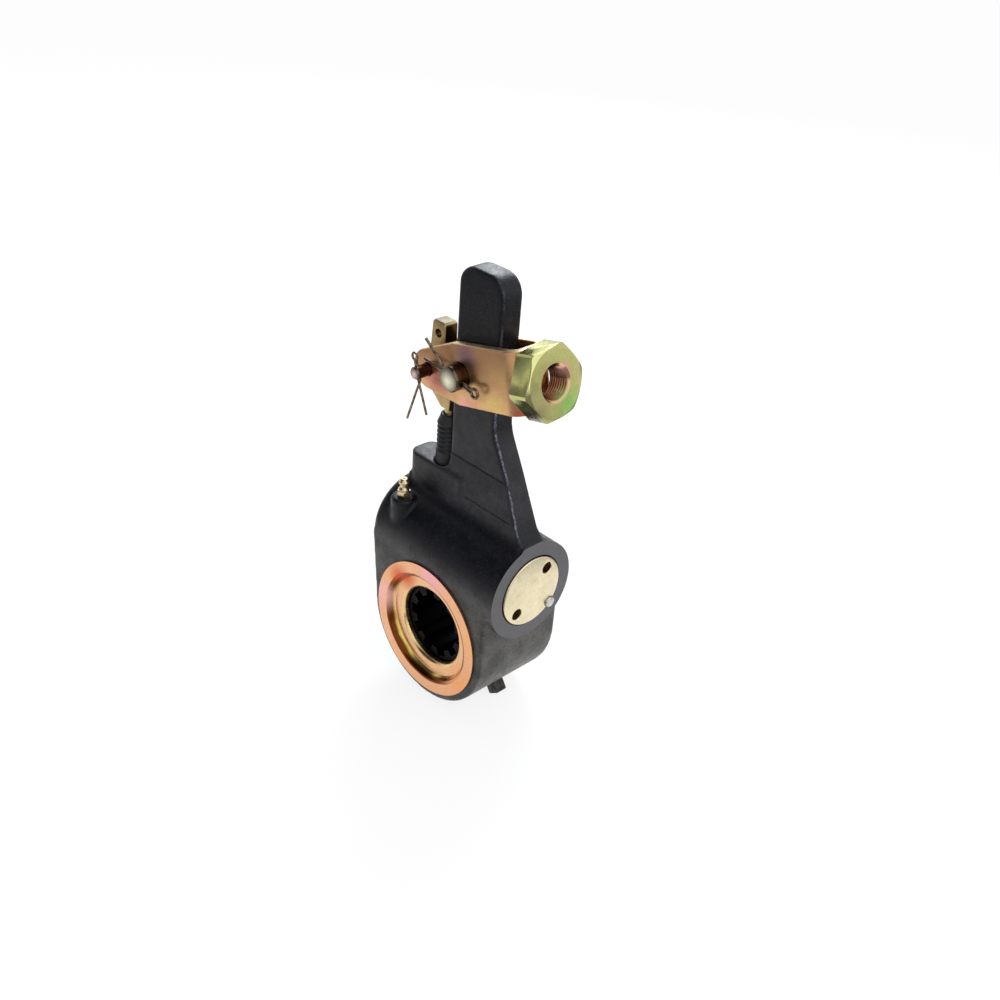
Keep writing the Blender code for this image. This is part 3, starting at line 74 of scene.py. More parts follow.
# Housing
ARM_LENGTH = 139.7 * MM
CENTRE_DISTANCE = 38.6 * MM
BODY_RADIUS = 41.0 * MM
BODY_HALF_DEPTH = 26.3 * MM
BODY_LEFT_TOP = 44.6 * MM
BARREL_RADIUS = 26.6 * MM
BARREL_LEFT = -45.0 * MM
BARREL_RIGHT = 46.2 * MM
BARREL_ROUNDING = 4.0 * MM
# Cut off again when the barrel's end is faced
BARREL_STOCK = 1.5 * MM
ARM_HALF_THICKNESS = 6.35 * MM
ARM_LEFT = -10.3 * MM
ARM_RIGHT = 18.9 * MM
ARM_TOP = 190.5 * MM
ARM_CORNER = 9.5 * MM
ARM_BEVEL = 1.8 * MM
ARM_FLARE_HEIGHT = 115.5 * MM
FLARE_REACH = BARREL_RIGHT - 0.4 * MM
FLARE_FILLET = 9.0 * MM
FLARE_SET_BACK = 1.8 * MM
ARM_FOOT = CENTRE_DISTANCE + BARREL_RADIUS - 0.4 * MM
WEB_TOP = 93.0 * MM
WEB_FRONT = 8.0 * MM
WEB_FOOT = 74.5 * MM
WEB_FILLET = 8.0 * MM
UPPER_CREASE = (ARM_LEFT - 1.0 * MM, 32.5 * MM)
LOWER_CREASE = (4.0 * MM, 36.0 * MM)
CREASE_DEPTH = 0.33 * MM
SHOULDER_TOP = 82.5 * MM
SHOULDER_LEFT = -39.0 * MM
SHOULDER_HALF_THICKNESS = 8.6 * MM
SHOULDER_CORNER = 6.0 * MM
SHOULDER_FILLET = 6.0 * MM
CAST_GRAIN = 0.8 * MM

# Wheel side
COVER_RADIUS = 37.0 * MM
COVER_SHEET = 0.9 * MM
COVER_SEAT = 31.3 * MM
COVER_DEPTH = 4.0 * MM
COVER_HOLE = 21.1 * MM
COVER_GAP = 0.3 * MM
SEAT_PLAY = 0.5 * MM
HUB_HALF_LENGTH = 19.5 * MM
WHEEL_BORE = 28.8 * MM

# Worm side
LEFT_BORE = 9.3 * MM
WORM_BORE = 15.2 * MM
WORM_BORE_LEFT = -7.8 * MM
MOUTH_CHAMFER = 0.5 * MM
CAP_RADIUS = 18.7 * MM
CAP_LENGTH = 8.4 * MM
CAP_FACE = BARREL_RIGHT + 0.8 * MM
CAP_HOLE_RADIUS = 3.0 * MM
CAP_HOLE_PITCH = 13.6 * MM
CAP_HOLE_ANGLE = math.radians(47.3)
CAP_HOLE_DEPTH = 4.0 * MM
LOCK_PIN_RADIUS = 2.8 * MM
LOCK_PIN_ANGLE = math.radians(-42.3)
LOCK_PIN_PITCH = CAP_RADIUS - 0.9 * MM
LOCK_PIN_DEPTH = 3.6 * MM
LOCK_PIN_BACK = BARREL_RIGHT - LOCK_PIN_DEPTH
LOCK_PIN_FACE = BARREL_RIGHT + 2.0 * MM
LOCK_PIN_PLACE = (0, LOCK_PIN_PITCH * math.cos(LOCK_PIN_ANGLE),
                  CENTRE_DISTANCE + LOCK_PIN_PITCH * math.sin(LOCK_PIN_ANGLE))
LOCK_HOLE = (LOCK_PIN_RADIUS + CLEARANCE, LOCK_PIN_BACK - CLEARANCE, LOCK_PIN_FACE, "X", LOCK_PIN_PLACE)

# Boot and link
RACK_X = -18.0 * MM
STEM_BORE = 6.9 * MM
RACK_BORE = 10.3 * MM
RACK_BORE_TOP = 62.6 * MM
WELL_FLOOR = 21.0 * MM
WELL_CHAMFER = 0.6 * MM
BOOT_RADIUS = 6.4 * MM
BOOT_WALL = 1.0 * MM
BOOT_DEPTH = 4.2 * MM
BOOT_FOLDS = 6
BOOT_FOLD_DEPTH = 1.2 * MM
BOOT_NECK_GAP = 0.65 * MM
# Shares of the boot's height above the shoulder
BOOT_SLEEVE = 0.245
BOOT_FOLDED = 0.565
BOOT_TAPER = 0.08
LINK_ROD = 3.0 * MM
LINK_BALL = 4.5 * MM
LINK_BALL_HEIGHT = 58.8 * MM
LINK_HALF_THICKNESS = 4.0 * MM
LINK_HOLE = 2.2 * MM

# Clevis, in its own axes: s along it from the main pin, t across its height
CLEVIS_TILT = math.radians(14)
CLEVIS_HALF_HEIGHT = 15.0 * MM
CLEVIS_GAP = 7.1 * MM
CLEVIS_PLATE = 5.0 * MM
CLEVIS_OUTER = CLEVIS_GAP + CLEVIS_PLATE
CLEVIS_BASE = 38.7 * MM
CLEVIS_BEND = 8.5 * MM
CLEVIS_TAPER_START = -3.0 * MM
CLEVIS_NOSE_RADIUS = 10.0 * MM
LINK_PIN_ARM = 23.2 * MM
LINK_PIN_X = -LINK_PIN_ARM * math.cos(CLEVIS_TILT)
LINK_PIN_Z = ARM_LENGTH - LINK_PIN_ARM * math.sin(CLEVIS_TILT)
LINK_TOP = LINK_PIN_Z + 21.6 * MM
LINK_FOOT = LINK_PIN_Z - 22.0 * MM
LINK_EYE = (LINK_PIN_X - 2.3 * MM, 0, LINK_TOP - 6.0 * MM)
BOOT_TOP = LINK_FOOT - 3.1 * MM

# Nut
NUT_CORNER_RADIUS = 18.7 * MM
NUT_CORNER_TRIM = 18.2 * MM
NUT_LENGTH = 11.3 * MM
NUT_TURN = math.radians(22.2)
NUT_MINOR = 7.4 * MM
NUT_MAJOR = 8.0 * MM
NUT_PITCH = 1.41 * MM
NUT_CHAMFER = 9.1 * MM

# Pins
MAIN_PIN_RADIUS = 6.35 * MM
LINK_PIN_RADIUS = 3.175 * MM
LINK_PIN_FRONT = -20.5 * MM
HEAD_THICKNESS = 3.2 * MM
# Radius, front end and head radius
MAIN_PIN = (MAIN_PIN_RADIUS, -19.4 * MM, 9.0 * MM)
LINK_PIN = (LINK_PIN_RADIUS, LINK_PIN_FRONT, 4.8 * MM)
ARM_HOLE = 8.55 * MM
# Split pins: eye and tips in millimetres from the pin's centre, wire radius, and place along Y
MAIN_COTTER = ((14.0, -2.5), ((-20.5, 12.0), (-20.6, 1.6)), 0.75 * MM, -15.6 * MM)
LINK_COTTER = ((-2.5, 7.4), ((7.4, -19.5), (-6.6, -27.0)), 0.6 * MM, -18.1 * MM)

# Fittings
GREASE_X = -30.0 * MM
GREASE_Y = -18.0 * MM
GREASE_BOSS = 6.6 * MM
GREASE_BOSS_TOP = 62.5 * MM
GREASE_THREAD = 3.0 * MM
PLUG_ANGLE = math.radians(-55.6)
PLUG_Y = 3.0 * MM
PLUG_SHANK = 4.4 * MM
PLUG_SQUARE = 7.2 * MM
PLUG_HEAD = 7.0 * MM
GREASE_HEX = 6.2 * MM
HEX_ACROSS_FLATS = 11.1 * MM
HEX_LEFT = -58.0 * MM
HEX_JOURNAL = 6.2 * MM
HEX_JOURNAL_END = -34.2 * MM
HEX_BORE = 4.2 * MM
HEX_BORE_LEFT = -56.3 * MM

# Light, a little blue
LAMP_COLOUR = (0.86, 0.93, 1.0)

# Facets of round pieces
ROUND = 128
SMALL_ROUND = 48


# Selecting and editing

def choose(obj):
    bpy.ops.object.select_all(action="DESELECT")
    obj.select_set(True)
    bpy.context.view_layer.objects.active = obj


def edit(obj):
    choose(obj)
    bpy.ops.object.mode_set(mode="EDIT")
    bpy.ops.mesh.select_all(action="SELECT")


def leave_edit():
    bpy.ops.object.mode_set(mode="OBJECT")


def tidy_skin(obj):
    """Close the seams of a spun or joined skin and turn its faces outwards."""
    edit(obj)
    bpy.ops.mesh.remove_doubles(threshold=WELD)
    bpy.ops.mesh.normals_make_consistent(inside=False)
    leave_edit()


def apply_step(obj, kind, **settings):
    choose(obj)
    step = obj.modifiers.new("step", kind)
    for name, value in settings.items():
        setattr(step, name, value)
    bpy.ops.object.modifier_apply(modifier=step.name)


def carve(obj, tool, operation="DIFFERENCE"):
    apply_step(obj, "BOOLEAN", operation=operation, solver="MANIFOLD", object=tool)
    bpy.data.objects.remove(tool, do_unlink=True)


def trim(obj, point, outward):
    """Cut off what lies past a plane, and close the cut."""
    edit(obj)
    bpy.ops.mesh.bisect(plane_co=point, plane_no=outward, use_fill=True, clear_outer=True)
    leave_edit()
    tidy_skin(obj)


def settle(obj, place=(0, 0, 0), turn=(0, 0, 0)):
    """Move the shape to its place and leave the object at the origin."""
    choose(obj)
    obj.location = place
    obj.rotation_euler = turn
    bpy.ops.object.transform_apply(location=True, rotation=True, scale=True)
    return obj


def to_clevis(obj):
    return settle(obj, (0, 0, ARM_LENGTH), (0, -CLEVIS_TILT, 0))


# Forms

def softened(corners, steps=8):
    """Points of an outline with corners (u, v), or (u, v, radius) where one is rounded."""
    points = []
    count = len(corners)
    for index, (u, v, *radius) in enumerate(corners):
        here = Vector((u, v))
        if not radius:
            points.append((u, v))
            continue
        before = (Vector(corners[index - 1][:2]) - here).normalized()
        after = (Vector(corners[(index + 1) % count][:2]) - here).normalized()
        half = before.angle(after) / 2
        centre = here + (before + after).normalized() * (radius[0] / math.sin(half))
        start = here + before * (radius[0] / math.tan(half)) - centre
        end = here + after * (radius[0] / math.tan(half)) - centre
        sweep = start.angle_signed(end)
        for step in range(steps + 1):
            arm = start.copy()
            arm.rotate(Matrix.Rotation(-sweep * step / steps, 2))
            points.append(tuple(centre + arm))
    return points


def arc(radius, start, end, steps, centre=(0, 0)):
    """Points along an arc, with both its ends."""
    angles = [start + (end - start) * step / steps for step in range(steps + 1)]
    return [(centre[0] + radius * math.cos(angle), centre[1] + radius * math.sin(angle)) for angle in angles]


def hexagon(across_flats, start):
    return arc(across_flats / 2 / math.cos(math.pi / 6), start, start + 2 * math.pi, 6)[:6]


def draw(name, points):
    """A line of edges, drawn point by point from a single vertex."""
    bpy.ops.object.select_all(action="DESELECT")
    bpy.ops.mesh.primitive_plane_add(size=1 * MM)
    obj = bpy.context.object
    obj.name = name
    edit(obj)
    bpy.ops.mesh.select_mode(type="VERT")
    bpy.ops.mesh.merge(type="CENTER")
    bpy.ops.transform.translate(value=points[0])
    for here, there in zip(points, points[1:]):
        step = Vector(there) - Vector(here)
        bpy.ops.mesh.extrude_region_move(TRANSFORM_OT_translate={"value": step})
    leave_edit()
    return obj


def turn(name, profile, axis, steps=ROUND, closed=False):
    """Spin a profile of (radius, along) points round an axis through the origin."""
    if closed:
        profile = profile + profile[:1]
    spots = {"X": lambda r, a: (a, 0, r), "Y": lambda r, a: (r, a, 0), "Z": lambda r, a: (r, 0, a)}
    obj = draw(name, [spots[axis](radius, along) for radius, along in profile])
    edit(obj)
    pole = [1.0 if letter == axis else 0.0 for letter in "XYZ"]
    bpy.ops.mesh.spin(steps=steps, angle=2 * math.pi, center=(0, 0, 0), axis=pole)
    leave_edit()
    tidy_skin(obj)
    return obj


def slab(name, outline, low, high, axis="Y"):
    """Extrude an outline of (x, z), (y, z) or (x, y) points along Y, X or Z."""
    spots = {"X": lambda u, v: (low, u, v), "Y": lambda u, v: (u, low, v), "Z": lambda u, v: (u, v, low)}
    obj = draw(name, [spots[axis](u, v) for u, v in outline + outline[:1]])
    edit(obj)
    bpy.ops.mesh.remove_doubles(threshold=WELD)
    bpy.ops.mesh.edge_face_add()
    shift = [high - low if letter == axis else 0.0 for letter in "XYZ"]
    bpy.ops.mesh.extrude_region_move(TRANSFORM_OT_translate={"value": shift})
    leave_edit()
    tidy_skin(obj)
    return obj


def turned(name, corners, axis, steps=ROUND, rounding=8):
    """Spin softened (radius, along) corners into a solid that is closed at its axis."""
    corners = [(0, corners[0][1]), *corners, (0, corners[-1][1])]
    return turn(name, softened(corners, rounding), axis, steps)


def rod(name, radius, low, high, axis, steps=ROUND):
    return turned(name, [(radius, low), (radius, high)], axis, steps)


def drill(obj, name, radius, low, high, axis, place=(0, 0, 0)):
    carve(obj, settle(rod(name, radius, low, high, axis, SMALL_ROUND), place))


def soften_rims(obj, axis, width, segments=4):
    """Bevel the edges that lie in the two end faces of a slab."""
    letter = "XYZ".index(axis)
    levels = [vert.co[letter] for vert in obj.data.vertices]
    ends = (min(levels), max(levels))
    edit(obj)
    bpy.ops.mesh.select_mode(type="EDGE")
    bpy.ops.mesh.select_all(action="DESELECT")
    mesh = bmesh.from_edit_mesh(obj.data)
    for edge in mesh.edges:
        if any(max(abs(vert.co[letter] - end) for vert in edge.verts) < 0.01 * MM for end in ends):
            edge.select_set(True)
    bmesh.update_edit_mesh(obj.data)
    bpy.ops.mesh.bevel(offset=width, segments=segments, affect="EDGES", clamp_overlap=True)
    leave_edit()
    return obj


def merged(name, *parts):
    bpy.ops.object.select_all(action="DESELECT")
    for part in parts:
        part.select_set(True)
    bpy.context.view_layer.objects.active = parts[0]
    bpy.ops.object.join()
    parts[0].name = name
    return parts[0]


def screw_rod(name, minor, major, pitch, low, high):
    """A threaded rod along X: a V profile of one pitch, screwed along and trimmed flat at both ends."""
    start = low - 2 * pitch
    rows = [(start, 0, minor), (start + 0.12 * pitch, 0, minor), (start + 0.47 * pitch, 0, major),
            (start + 0.65 * pitch, 0, major), (start + pitch, 0, minor)]
    obj = draw(name, rows)
    turns = math.ceil((high - low) / pitch) + 4
    apply_step(obj, "SCREW", axis="X", angle=2 * math.pi, screw_offset=pitch, iterations=turns, steps=64,
               render_steps=64, use_merge_vertices=False)
    edit(obj)
    bpy.ops.mesh.remove_doubles(threshold=WELD)
    for place, side in ((low, -1), (high, 1)):
        bpy.ops.mesh.select_all(action="SELECT")
        bpy.ops.mesh.bisect(plane_co=(place, 0, 0), plane_no=(side, 0, 0), use_fill=True, clear_outer=True)
    leave_edit()
    tidy_skin(obj)
    return obj


def smooth_line(points, steps):
    """More points on one smooth curve through the given ones."""
    line = []
    last = len(points) - 1
    for index in range(last):
        before = points[max(index - 1, 0)]
        here = points[index]
        there = points[index + 1]
        after = points[min(index + 2, last)]
        for step in range(steps):
            t = step / steps
            bend = (2 * before - 5 * here + 4 * there - after) * t * t
            twist = (3 * here - before - 3 * there + after) * t ** 3
            line.append((2 * here + (there - before) * t + bend + twist) / 2)
    line.append(points[last])
    return line


def wire(name, points, radius):
    """A bent wire with closed ends, from a curve with a round bevel."""
    data = bpy.data.curves.new(name, "CURVE")
    data.dimensions = "3D"
    data.bevel_depth = radius
    data.bevel_resolution = 5
    data.use_fill_caps = True
    line = data.splines.new("POLY")
    line.points.add(len(points) - 1)
    for spot, point in zip(line.points, points):
        spot.co = (*point, 1.0)
    obj = bpy.data.objects.new(name, data)
    bpy.context.scene.collection.objects.link(obj)
    choose(obj)
    bpy.ops.object.convert(target="MESH")
    made = bpy.context.object
    made.name = name
    tidy_skin(made)
    return made


def finished(obj, body, look, nodes=(), angle=35):
    choose(obj)
    bpy.ops.object.shade_smooth_by_angle(angle=math.radians(angle))
    obj.data.materials.clear()
    obj.data.materials.append(look)
    if body:
        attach(obj, body)
    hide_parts(*nodes)
    return obj


# Material parts

def tone(red, green, blue):
    """A colour as it is seen on screen, 0 to 255, turned to the light values that shaders use."""
    parts = []
    for value in (red, green, blue):
        share = value / 255
        parts.append(share / 12.92 if share <= 0.04045 else ((share + 0.055) / 1.055) ** 2.4)
    return (*parts, 1.0)


def feed(tree, socket, value):
    if isinstance(value, bpy.types.NodeSocket):
        tree.links.new(value, socket)
    else:
        socket.default_value = value


def put(tree, kind, inputs=None, **settings):
    made = tree.nodes.new("ShaderNode" + kind)
    for name, value in settings.items():
        setattr(made, name, value)
    for name, value in (inputs or {}).items():
        feed(tree, made.inputs[name], value)
    return made


def sums(tree, operation, *values):
    made = put(tree, "Math", operation=operation)
    for index, value in enumerate(values):
        feed(tree, made.inputs[index], value)
    return made.outputs[0]


def product(tree, *values):
    whole = values[0]
    for value in values[1:]:
        whole = sums(tree, "MULTIPLY", whole, value)
    return whole


def arrows(tree, operation, first, second=None):
    """Vector arithmetic, with a fixed second vector."""
    made = put(tree, "VectorMath", operation=operation)
    feed(tree, made.inputs[0], first)
    if second is not None:
        made.inputs[1].default_value = second
    return made


def blended(tree, share, first, second):
    made = put(tree, "MixShader")
    for index, source in enumerate((share, first.outputs[0], second.outputs[0])):
        tree.links.new(source, made.inputs[index])
    return made.outputs[0]


def mixed(tree, share, first, second):
    made = put(tree, "Mix", data_type="RGBA")
    for index, value in ((0, share), (6, first), (7, second)):
        feed(tree, made.inputs[index], value)
    return made.outputs[2]


def noise(tree, place, scale, detail=2.0, distortion=0.0):
    return put(tree, "TexNoise", {"Vector": place, "Scale": scale, "Detail": detail,
                                  "Distortion": distortion}).outputs["Fac"]


def ranged(tree, value, low, high, start=0.0, end=1.0):
    made = put(tree, "MapRange", {"Value": value, "From Min": low, "From Max": high, "To Min": start,
                                  "To Max": end}, interpolation_type="SMOOTHSTEP")
    return made.outputs["Result"]


def ramp(tree, share, stops):
    """A colour ramp with its stops given as (position, screen colour)."""
    made = put(tree, "ValToRGB", {"Fac": share})
    elements = made.color_ramp.elements
    while len(elements) < len(stops):
        elements.new(0.5)
    for index, (position, colour) in enumerate(stops):
        elements[index].position = position
        elements[index].color = tone(*colour)
    return made.outputs["Color"]


def off_axis(tree, place, point, axis):
    """Distance from an axis through the point, in metres on the piece."""
    arm = arrows(tree, "SUBTRACT", place, point)
    cross = arrows(tree, "CROSS_PRODUCT", arm.outputs["Vector"], Vector(axis).normalized())
    return arrows(tree, "LENGTH", cross.outputs["Vector"]).outputs["Value"]


def near(tree, place, point, reach):
    """1 at the point and 0 beyond its reach, both in metres on the piece."""
    return ranged(tree, arrows(tree, "DISTANCE", place, point).outputs["Value"], 0.0, reach, 1.0, 0.0)


def blank(name):
    material = bpy.data.materials.new(name)
    material.use_nodes = True
    tree = material.node_tree
    place = put(tree, "TexCoord").outputs["Object"]
    return material, tree, tree.nodes["Principled BSDF"], place


def coat(tree, shader, place, colour, metallic, grains, roughness, spread, scale):
    """Colour, bump from several (scale, height in metres) grains, and an uneven gloss."""
    tree.links.new(colour, shader.inputs["Base Color"])
    shader.inputs["Metallic"].default_value = metallic
    height = None
    for grain_scale, rise in grains:
        part = product(tree, noise(tree, place, grain_scale, 3.0), rise)
        height = part if height is None else sums(tree, "ADD", height, part)
    bump = put(tree, "Bump", {"Height": height, "Strength": 1.0, "Distance": 1.0})
    tree.links.new(bump.outputs["Normal"], shader.inputs["Normal"])
    gloss = ranged(tree, noise(tree, place, scale, 3.0), 0.3, 0.7, roughness - spread, roughness + spread)
    tree.links.new(gloss, shader.inputs["Roughness"])


# Finishes

def zones(tree, value, stops):
    """Colours at rising values, given as (value, colour), with even changes between them."""
    first, last = stops[0][0], stops[-1][0]
    share = put(tree, "MapRange", {"Value": value, "From Min": first, "From Max": last}).outputs["Result"]
    return ramp(tree, share, [((place - first) / (last - first), colour) for place, colour in stops])


def cast_paint():
    """Satin blue-black paint over sand casting, grainy low on the case, bare grey on the barrel's end. Its
    colour changes with height as painted light: warm grey low on the case for a painted reflection of the
    floor, blue-black on the barrel and darker up the arm for painted shade, greyer on the web; a pale painted
    highlight runs along the arm's front edge."""
    material, tree, shader, place = blank("cast_black_paint")
    split = put(tree, "SeparateXYZ", {"Vector": place})
    height = split.outputs["Z"]
    # Height bands of painted light: a painted floor reflection low on the case, painted shade on the barrel
    # and the arm's top, a greyer web
    levels = [level * MM for level in (26, 50, 66, 80, 120, 140)]
    deep_tones = [(50, 49, 48), (10, 11, 17), (10, 11, 17), (30, 29, 33), (26, 26, 30), (8, 9, 13)]
    pale_tones = [(84, 81, 77), (16, 17, 25), (16, 17, 25), (45, 43, 47), (40, 39, 43), (17, 18, 24)]
    deep = zones(tree, height, list(zip(levels, deep_tones)))
    pale = zones(tree, height, list(zip(levels, pale_tones)))
    colour = mixed(tree, ranged(tree, noise(tree, place, 80.0, 4.0), 0.3, 0.7), deep, pale)
    low = ranged(tree, height, 26 * MM, 50 * MM, 0.45, 0.12)
    speck = product(tree, ranged(tree, noise(tree, place, 1300.0, 2.0), 0.57, 0.70), low)
    colour = mixed(tree, speck, colour, tone(112, 109, 106))
    pit = ranged(tree, noise(tree, place, 620.0, 2.0), 0.36, 0.44, 0.35, 0.0)
    colour = mixed(tree, pit, colour, tone(12, 12, 15))

    # Painted highlight: a pale blue-grey line along the arm's front-right edge, where its rounded corner
    # faces front and right
    normal = put(tree, "SeparateXYZ", {"Vector": put(tree, "TexCoord").outputs["Normal"]})
    front = product(tree, normal.outputs["Y"], -1.0)
    edge = product(tree, ranged(tree, front, 0.14, 0.32), ranged(tree, front, 0.62, 0.82, 1.0, 0.0),
                   ranged(tree, normal.outputs["X"], 0.3, 0.5), ranged(tree, height, 64 * MM, 74 * MM),
                   ranged(tree, height, 118 * MM, 150 * MM, 1.0, 0.25),
                   ranged(tree, noise(tree, place, 150.0, 3.0), 0.36, 0.54, 0.15, 1.0),
                   ranged(tree, noise(tree, place, 700.0, 2.0), 0.42, 0.56, 0.25, 1.0))
    colour = mixed(tree, edge, colour, tone(112, 115, 130))
    end_face = ranged(tree, split.outputs["X"], BARREL_RIGHT - 0.06 * MM, BARREL_RIGHT - 0.02 * MM)
    colour = mixed(tree, end_face, colour, tone(88, 87, 89))
    shader.inputs["Specular IOR Level"].default_value = 0.28
    coat(tree, shader, place, colour, 0.0, [(700.0, 0.07 * MM), (1500.0, 0.06 * MM)], 0.4, 0.07, 260.0)
    return material


def plating(name, colours, blooms=(), scale=38.0, roughness=0.27, grain=0.006, bands=(), facing=()):
    """Zinc plating with patches of interference colour. Blooms are (point, reach, colour). Bands are (point,
    direction, radius, colour) inside that radius round that axis, later ones on top. The last argument gives
    (direction, colour) pairs of painted light and shade, for faces that look that way."""
    material, tree, shader, place = blank(name)
    last = len(colours) - 1
    stops = [(0.3 + 0.4 * index / last, values) for index, values in enumerate(colours)]
    colour = ramp(tree, noise(tree, place, scale, 3.0, 0.6), stops)
    wander = product(tree, sums(tree, "SUBTRACT", noise(tree, place, 90.0, 2.0), 0.5), 1.2 * MM)
    for point, direction, limit, values in bands:
        radius = sums(tree, "ADD", off_axis(tree, place, point, direction), wander)
        inside = ranged(tree, radius, limit - 0.4 * MM, limit + 0.4 * MM, 1.0, 0.0)
        colour = mixed(tree, inside, colour, tone(*values))
    for point, reach, values in blooms:
        colour = mixed(tree, near(tree, place, point, reach), colour, tone(*values))
    # Painted light and shade: faces are made lighter or darker by the way they look
    for direction, values in facing:
        normal = put(tree, "TexCoord").outputs["Normal"]
        match = arrows(tree, "DOT_PRODUCT", normal, Vector(direction).normalized()).outputs["Value"]
        colour = mixed(tree, ranged(tree, match, 0.8, 0.93, 0.0, 0.9), colour, tone(*values))
    shade = ranged(tree, noise(tree, place, 900.0, 3.0), 0.35, 0.65, 0.0, 0.10)
    colour = mixed(tree, shade, colour, tone(120, 96, 70))
    coat(tree, shader, place, colour, 1.0, [(2200.0, grain * MM), (300.0, 0.01 * MM)], roughness, 0.06, 180.0)
    return material


def steel(name, light, dark, roughness=0.25, scale=240.0):
    material, tree, shader, place = blank(name)
    colour = mixed(tree, ranged(tree, noise(tree, place, scale, 4.0), 0.35, 0.7), tone(*light), tone(*dark))
    coat(tree, shader, place, colour, 1.0, [(2500.0, 0.006 * MM), (500.0, 0.01 * MM)], roughness, 0.06, 400.0)
    return material


def rubber():
    material, tree, shader, place = blank("moulded_rubber")
    colour = mixed(tree, noise(tree, place, 300.0, 3.0), tone(16, 16, 19), tone(34, 34, 37))
    coat(tree, shader, place, colour, 0.0, [(1600.0, 0.02 * MM)], 0.52, 0.06, 500.0)
    return material


def patches(centre, *rows):
    """Blooms from rows of (x, y, z, reach, colour), in millimetres from the centre."""
    return [(centre + Vector(row[:3]) * MM, row[3] * MM, row[4]) for row in rows]


def make_looks():
    pin = Vector((0, 0, ARM_LENGTH))
    small_pin = Vector((LINK_PIN_X, LINK_PIN_FRONT, LINK_PIN_Z))
    screw = (math.cos(CLEVIS_TILT), 0, math.sin(CLEVIS_TILT))
    wheel = ((0, 0, 0), (0, 1, 0))
    # Painted shade: dark brown inside the cap's spanner holes
    spanner_hole_shade = [(place, (1, 0, 0), CAP_HOLE_RADIUS, (84, 52, 28)) for place in spanner_places(0)]
    return {
        "paint": cast_paint(),
        "plug": steel("plug_black", (70, 66, 64), (46, 44, 46), 0.42, 500.0),
        "clevis": plating("clevis_plating", [(214, 162, 120), (222, 172, 126), (228, 182, 126)],
                          patches(pin, (3, -12, 11, 12, (186, 138, 146)), (-16, -12, -8, 12, (222, 144, 130)),
                                  (6, -12, -15, 10, (244, 172, 158)), (24, -12, -7, 12, (234, 200, 126)),
                                  (38, -10, -5, 6, (244, 136, 100))),
                          # The clevis's top faces painted lighter: a painted highlight
                          roughness=0.4, facing=[((0, 0, 1), (240, 222, 184))]),
        "nut": plating("nut_plating", [(192, 190, 126), (196, 196, 126), (202, 190, 138)],
                       patches(pin, (42, -17, 0, 8, (150, 204, 112)), (52, 8, 0, 12, (158, 204, 112)),
                               (44, -10, -6, 8, (150, 124, 84)), (46, 6, 16, 7, (236, 176, 156))), 45.0, 0.22,
                       # The last band paints the threaded bore dark brown as painted shade
                       bands=[(pin, screw, NUT_CHAMFER, (232, 190, 150)),
                              (pin, screw, NUT_MAJOR, (104, 52, 38))]),
        "cover": plating("cover_plating", [(240, 186, 146), (236, 176, 134), (240, 178, 124)],
                         patches(Vector(),
                                 (4, -27, 34, 16, (240, 172, 172)), (-34, -27, 4, 14, (240, 182, 168)),
                                 (30, -27, -20, 20, (242, 168, 112)), (-20, -25, 21, 12, (208, 80, 34))),
                         42.0, 0.24,
                         bands=[(*wheel, 30.8 * MM, (112, 56, 18)), (*wheel, 28.2 * MM, (232, 206, 112)),
                                (*wheel, 27.5 * MM, (238, 186, 140)), (*wheel, 22.6 * MM, (240, 210, 150))]),
        "cap": plating("cap_plating", [(232, 218, 182), (242, 230, 196), (226, 208, 166)], (), 60.0, 0.3,
                       bands=spanner_hole_shade),
        # Painted dark reflection: the pins' plating colours are dark brown on their sides; a pale patch keeps
        # each end face light
        "pin": plating("pin_plating_painted_dark_reflection", [(66, 48, 36), (80, 58, 42), (58, 42, 32)],
                       patches(pin, (0, -19.4, 0, 7.6, (254, 248, 222))), 90.0, 0.26),
        "small_pin": plating("small_pin_plating_painted_dark_reflection", [(66, 42, 36), (80, 50, 42), (56, 34, 30)],
                             patches(small_pin, (0, 0, 0, 3.9, (248, 220, 210))), 120.0, 0.3),
        "cotter": steel("cotter_wire", (158, 138, 116), (92, 74, 58), 0.34, 600.0),
        # Darkened to near black as painted shade deep inside the bore
        "wheel": steel("wheel_black_painted_shade", (12, 12, 14), (7, 7, 9), 0.5, 300.0),
        "pins": plating("pin_plating", [(206, 190, 146), (220, 206, 160), (196, 172, 124)], (), 90.0, 0.28),
        "link": plating("link_plating", [(206, 182, 134), (190, 162, 112), (216, 194, 146)], (), 70.0, 0.38,
                        # Painted shade: the small eye's bore painted dark, and the link's top and right side
                        # painted darker
                        bands=[(LINK_EYE, (0, 1, 0), LINK_HOLE, (64, 42, 26))],
                        facing=[((0, 0, 1), (66, 58, 48)), ((1, 0, 0), (40, 34, 28))]),
        "gold": plating("fitting_plating", [(226, 206, 160), (234, 216, 174), (212, 184, 134)], (), 200.0),
        "bright": steel("bright_steel", (222, 220, 216), (184, 182, 178)),
        "dark": steel("dark_steel", (92, 80, 66), (60, 52, 44), 0.36),
        "ground": steel("ground_steel", (170, 168, 164), (120, 118, 114), 0.3),
        "bronze": steel("sintered_bronze", (176, 132, 78), (128, 90, 52), 0.38, 900.0),
        "rubber": rubber(),
    }


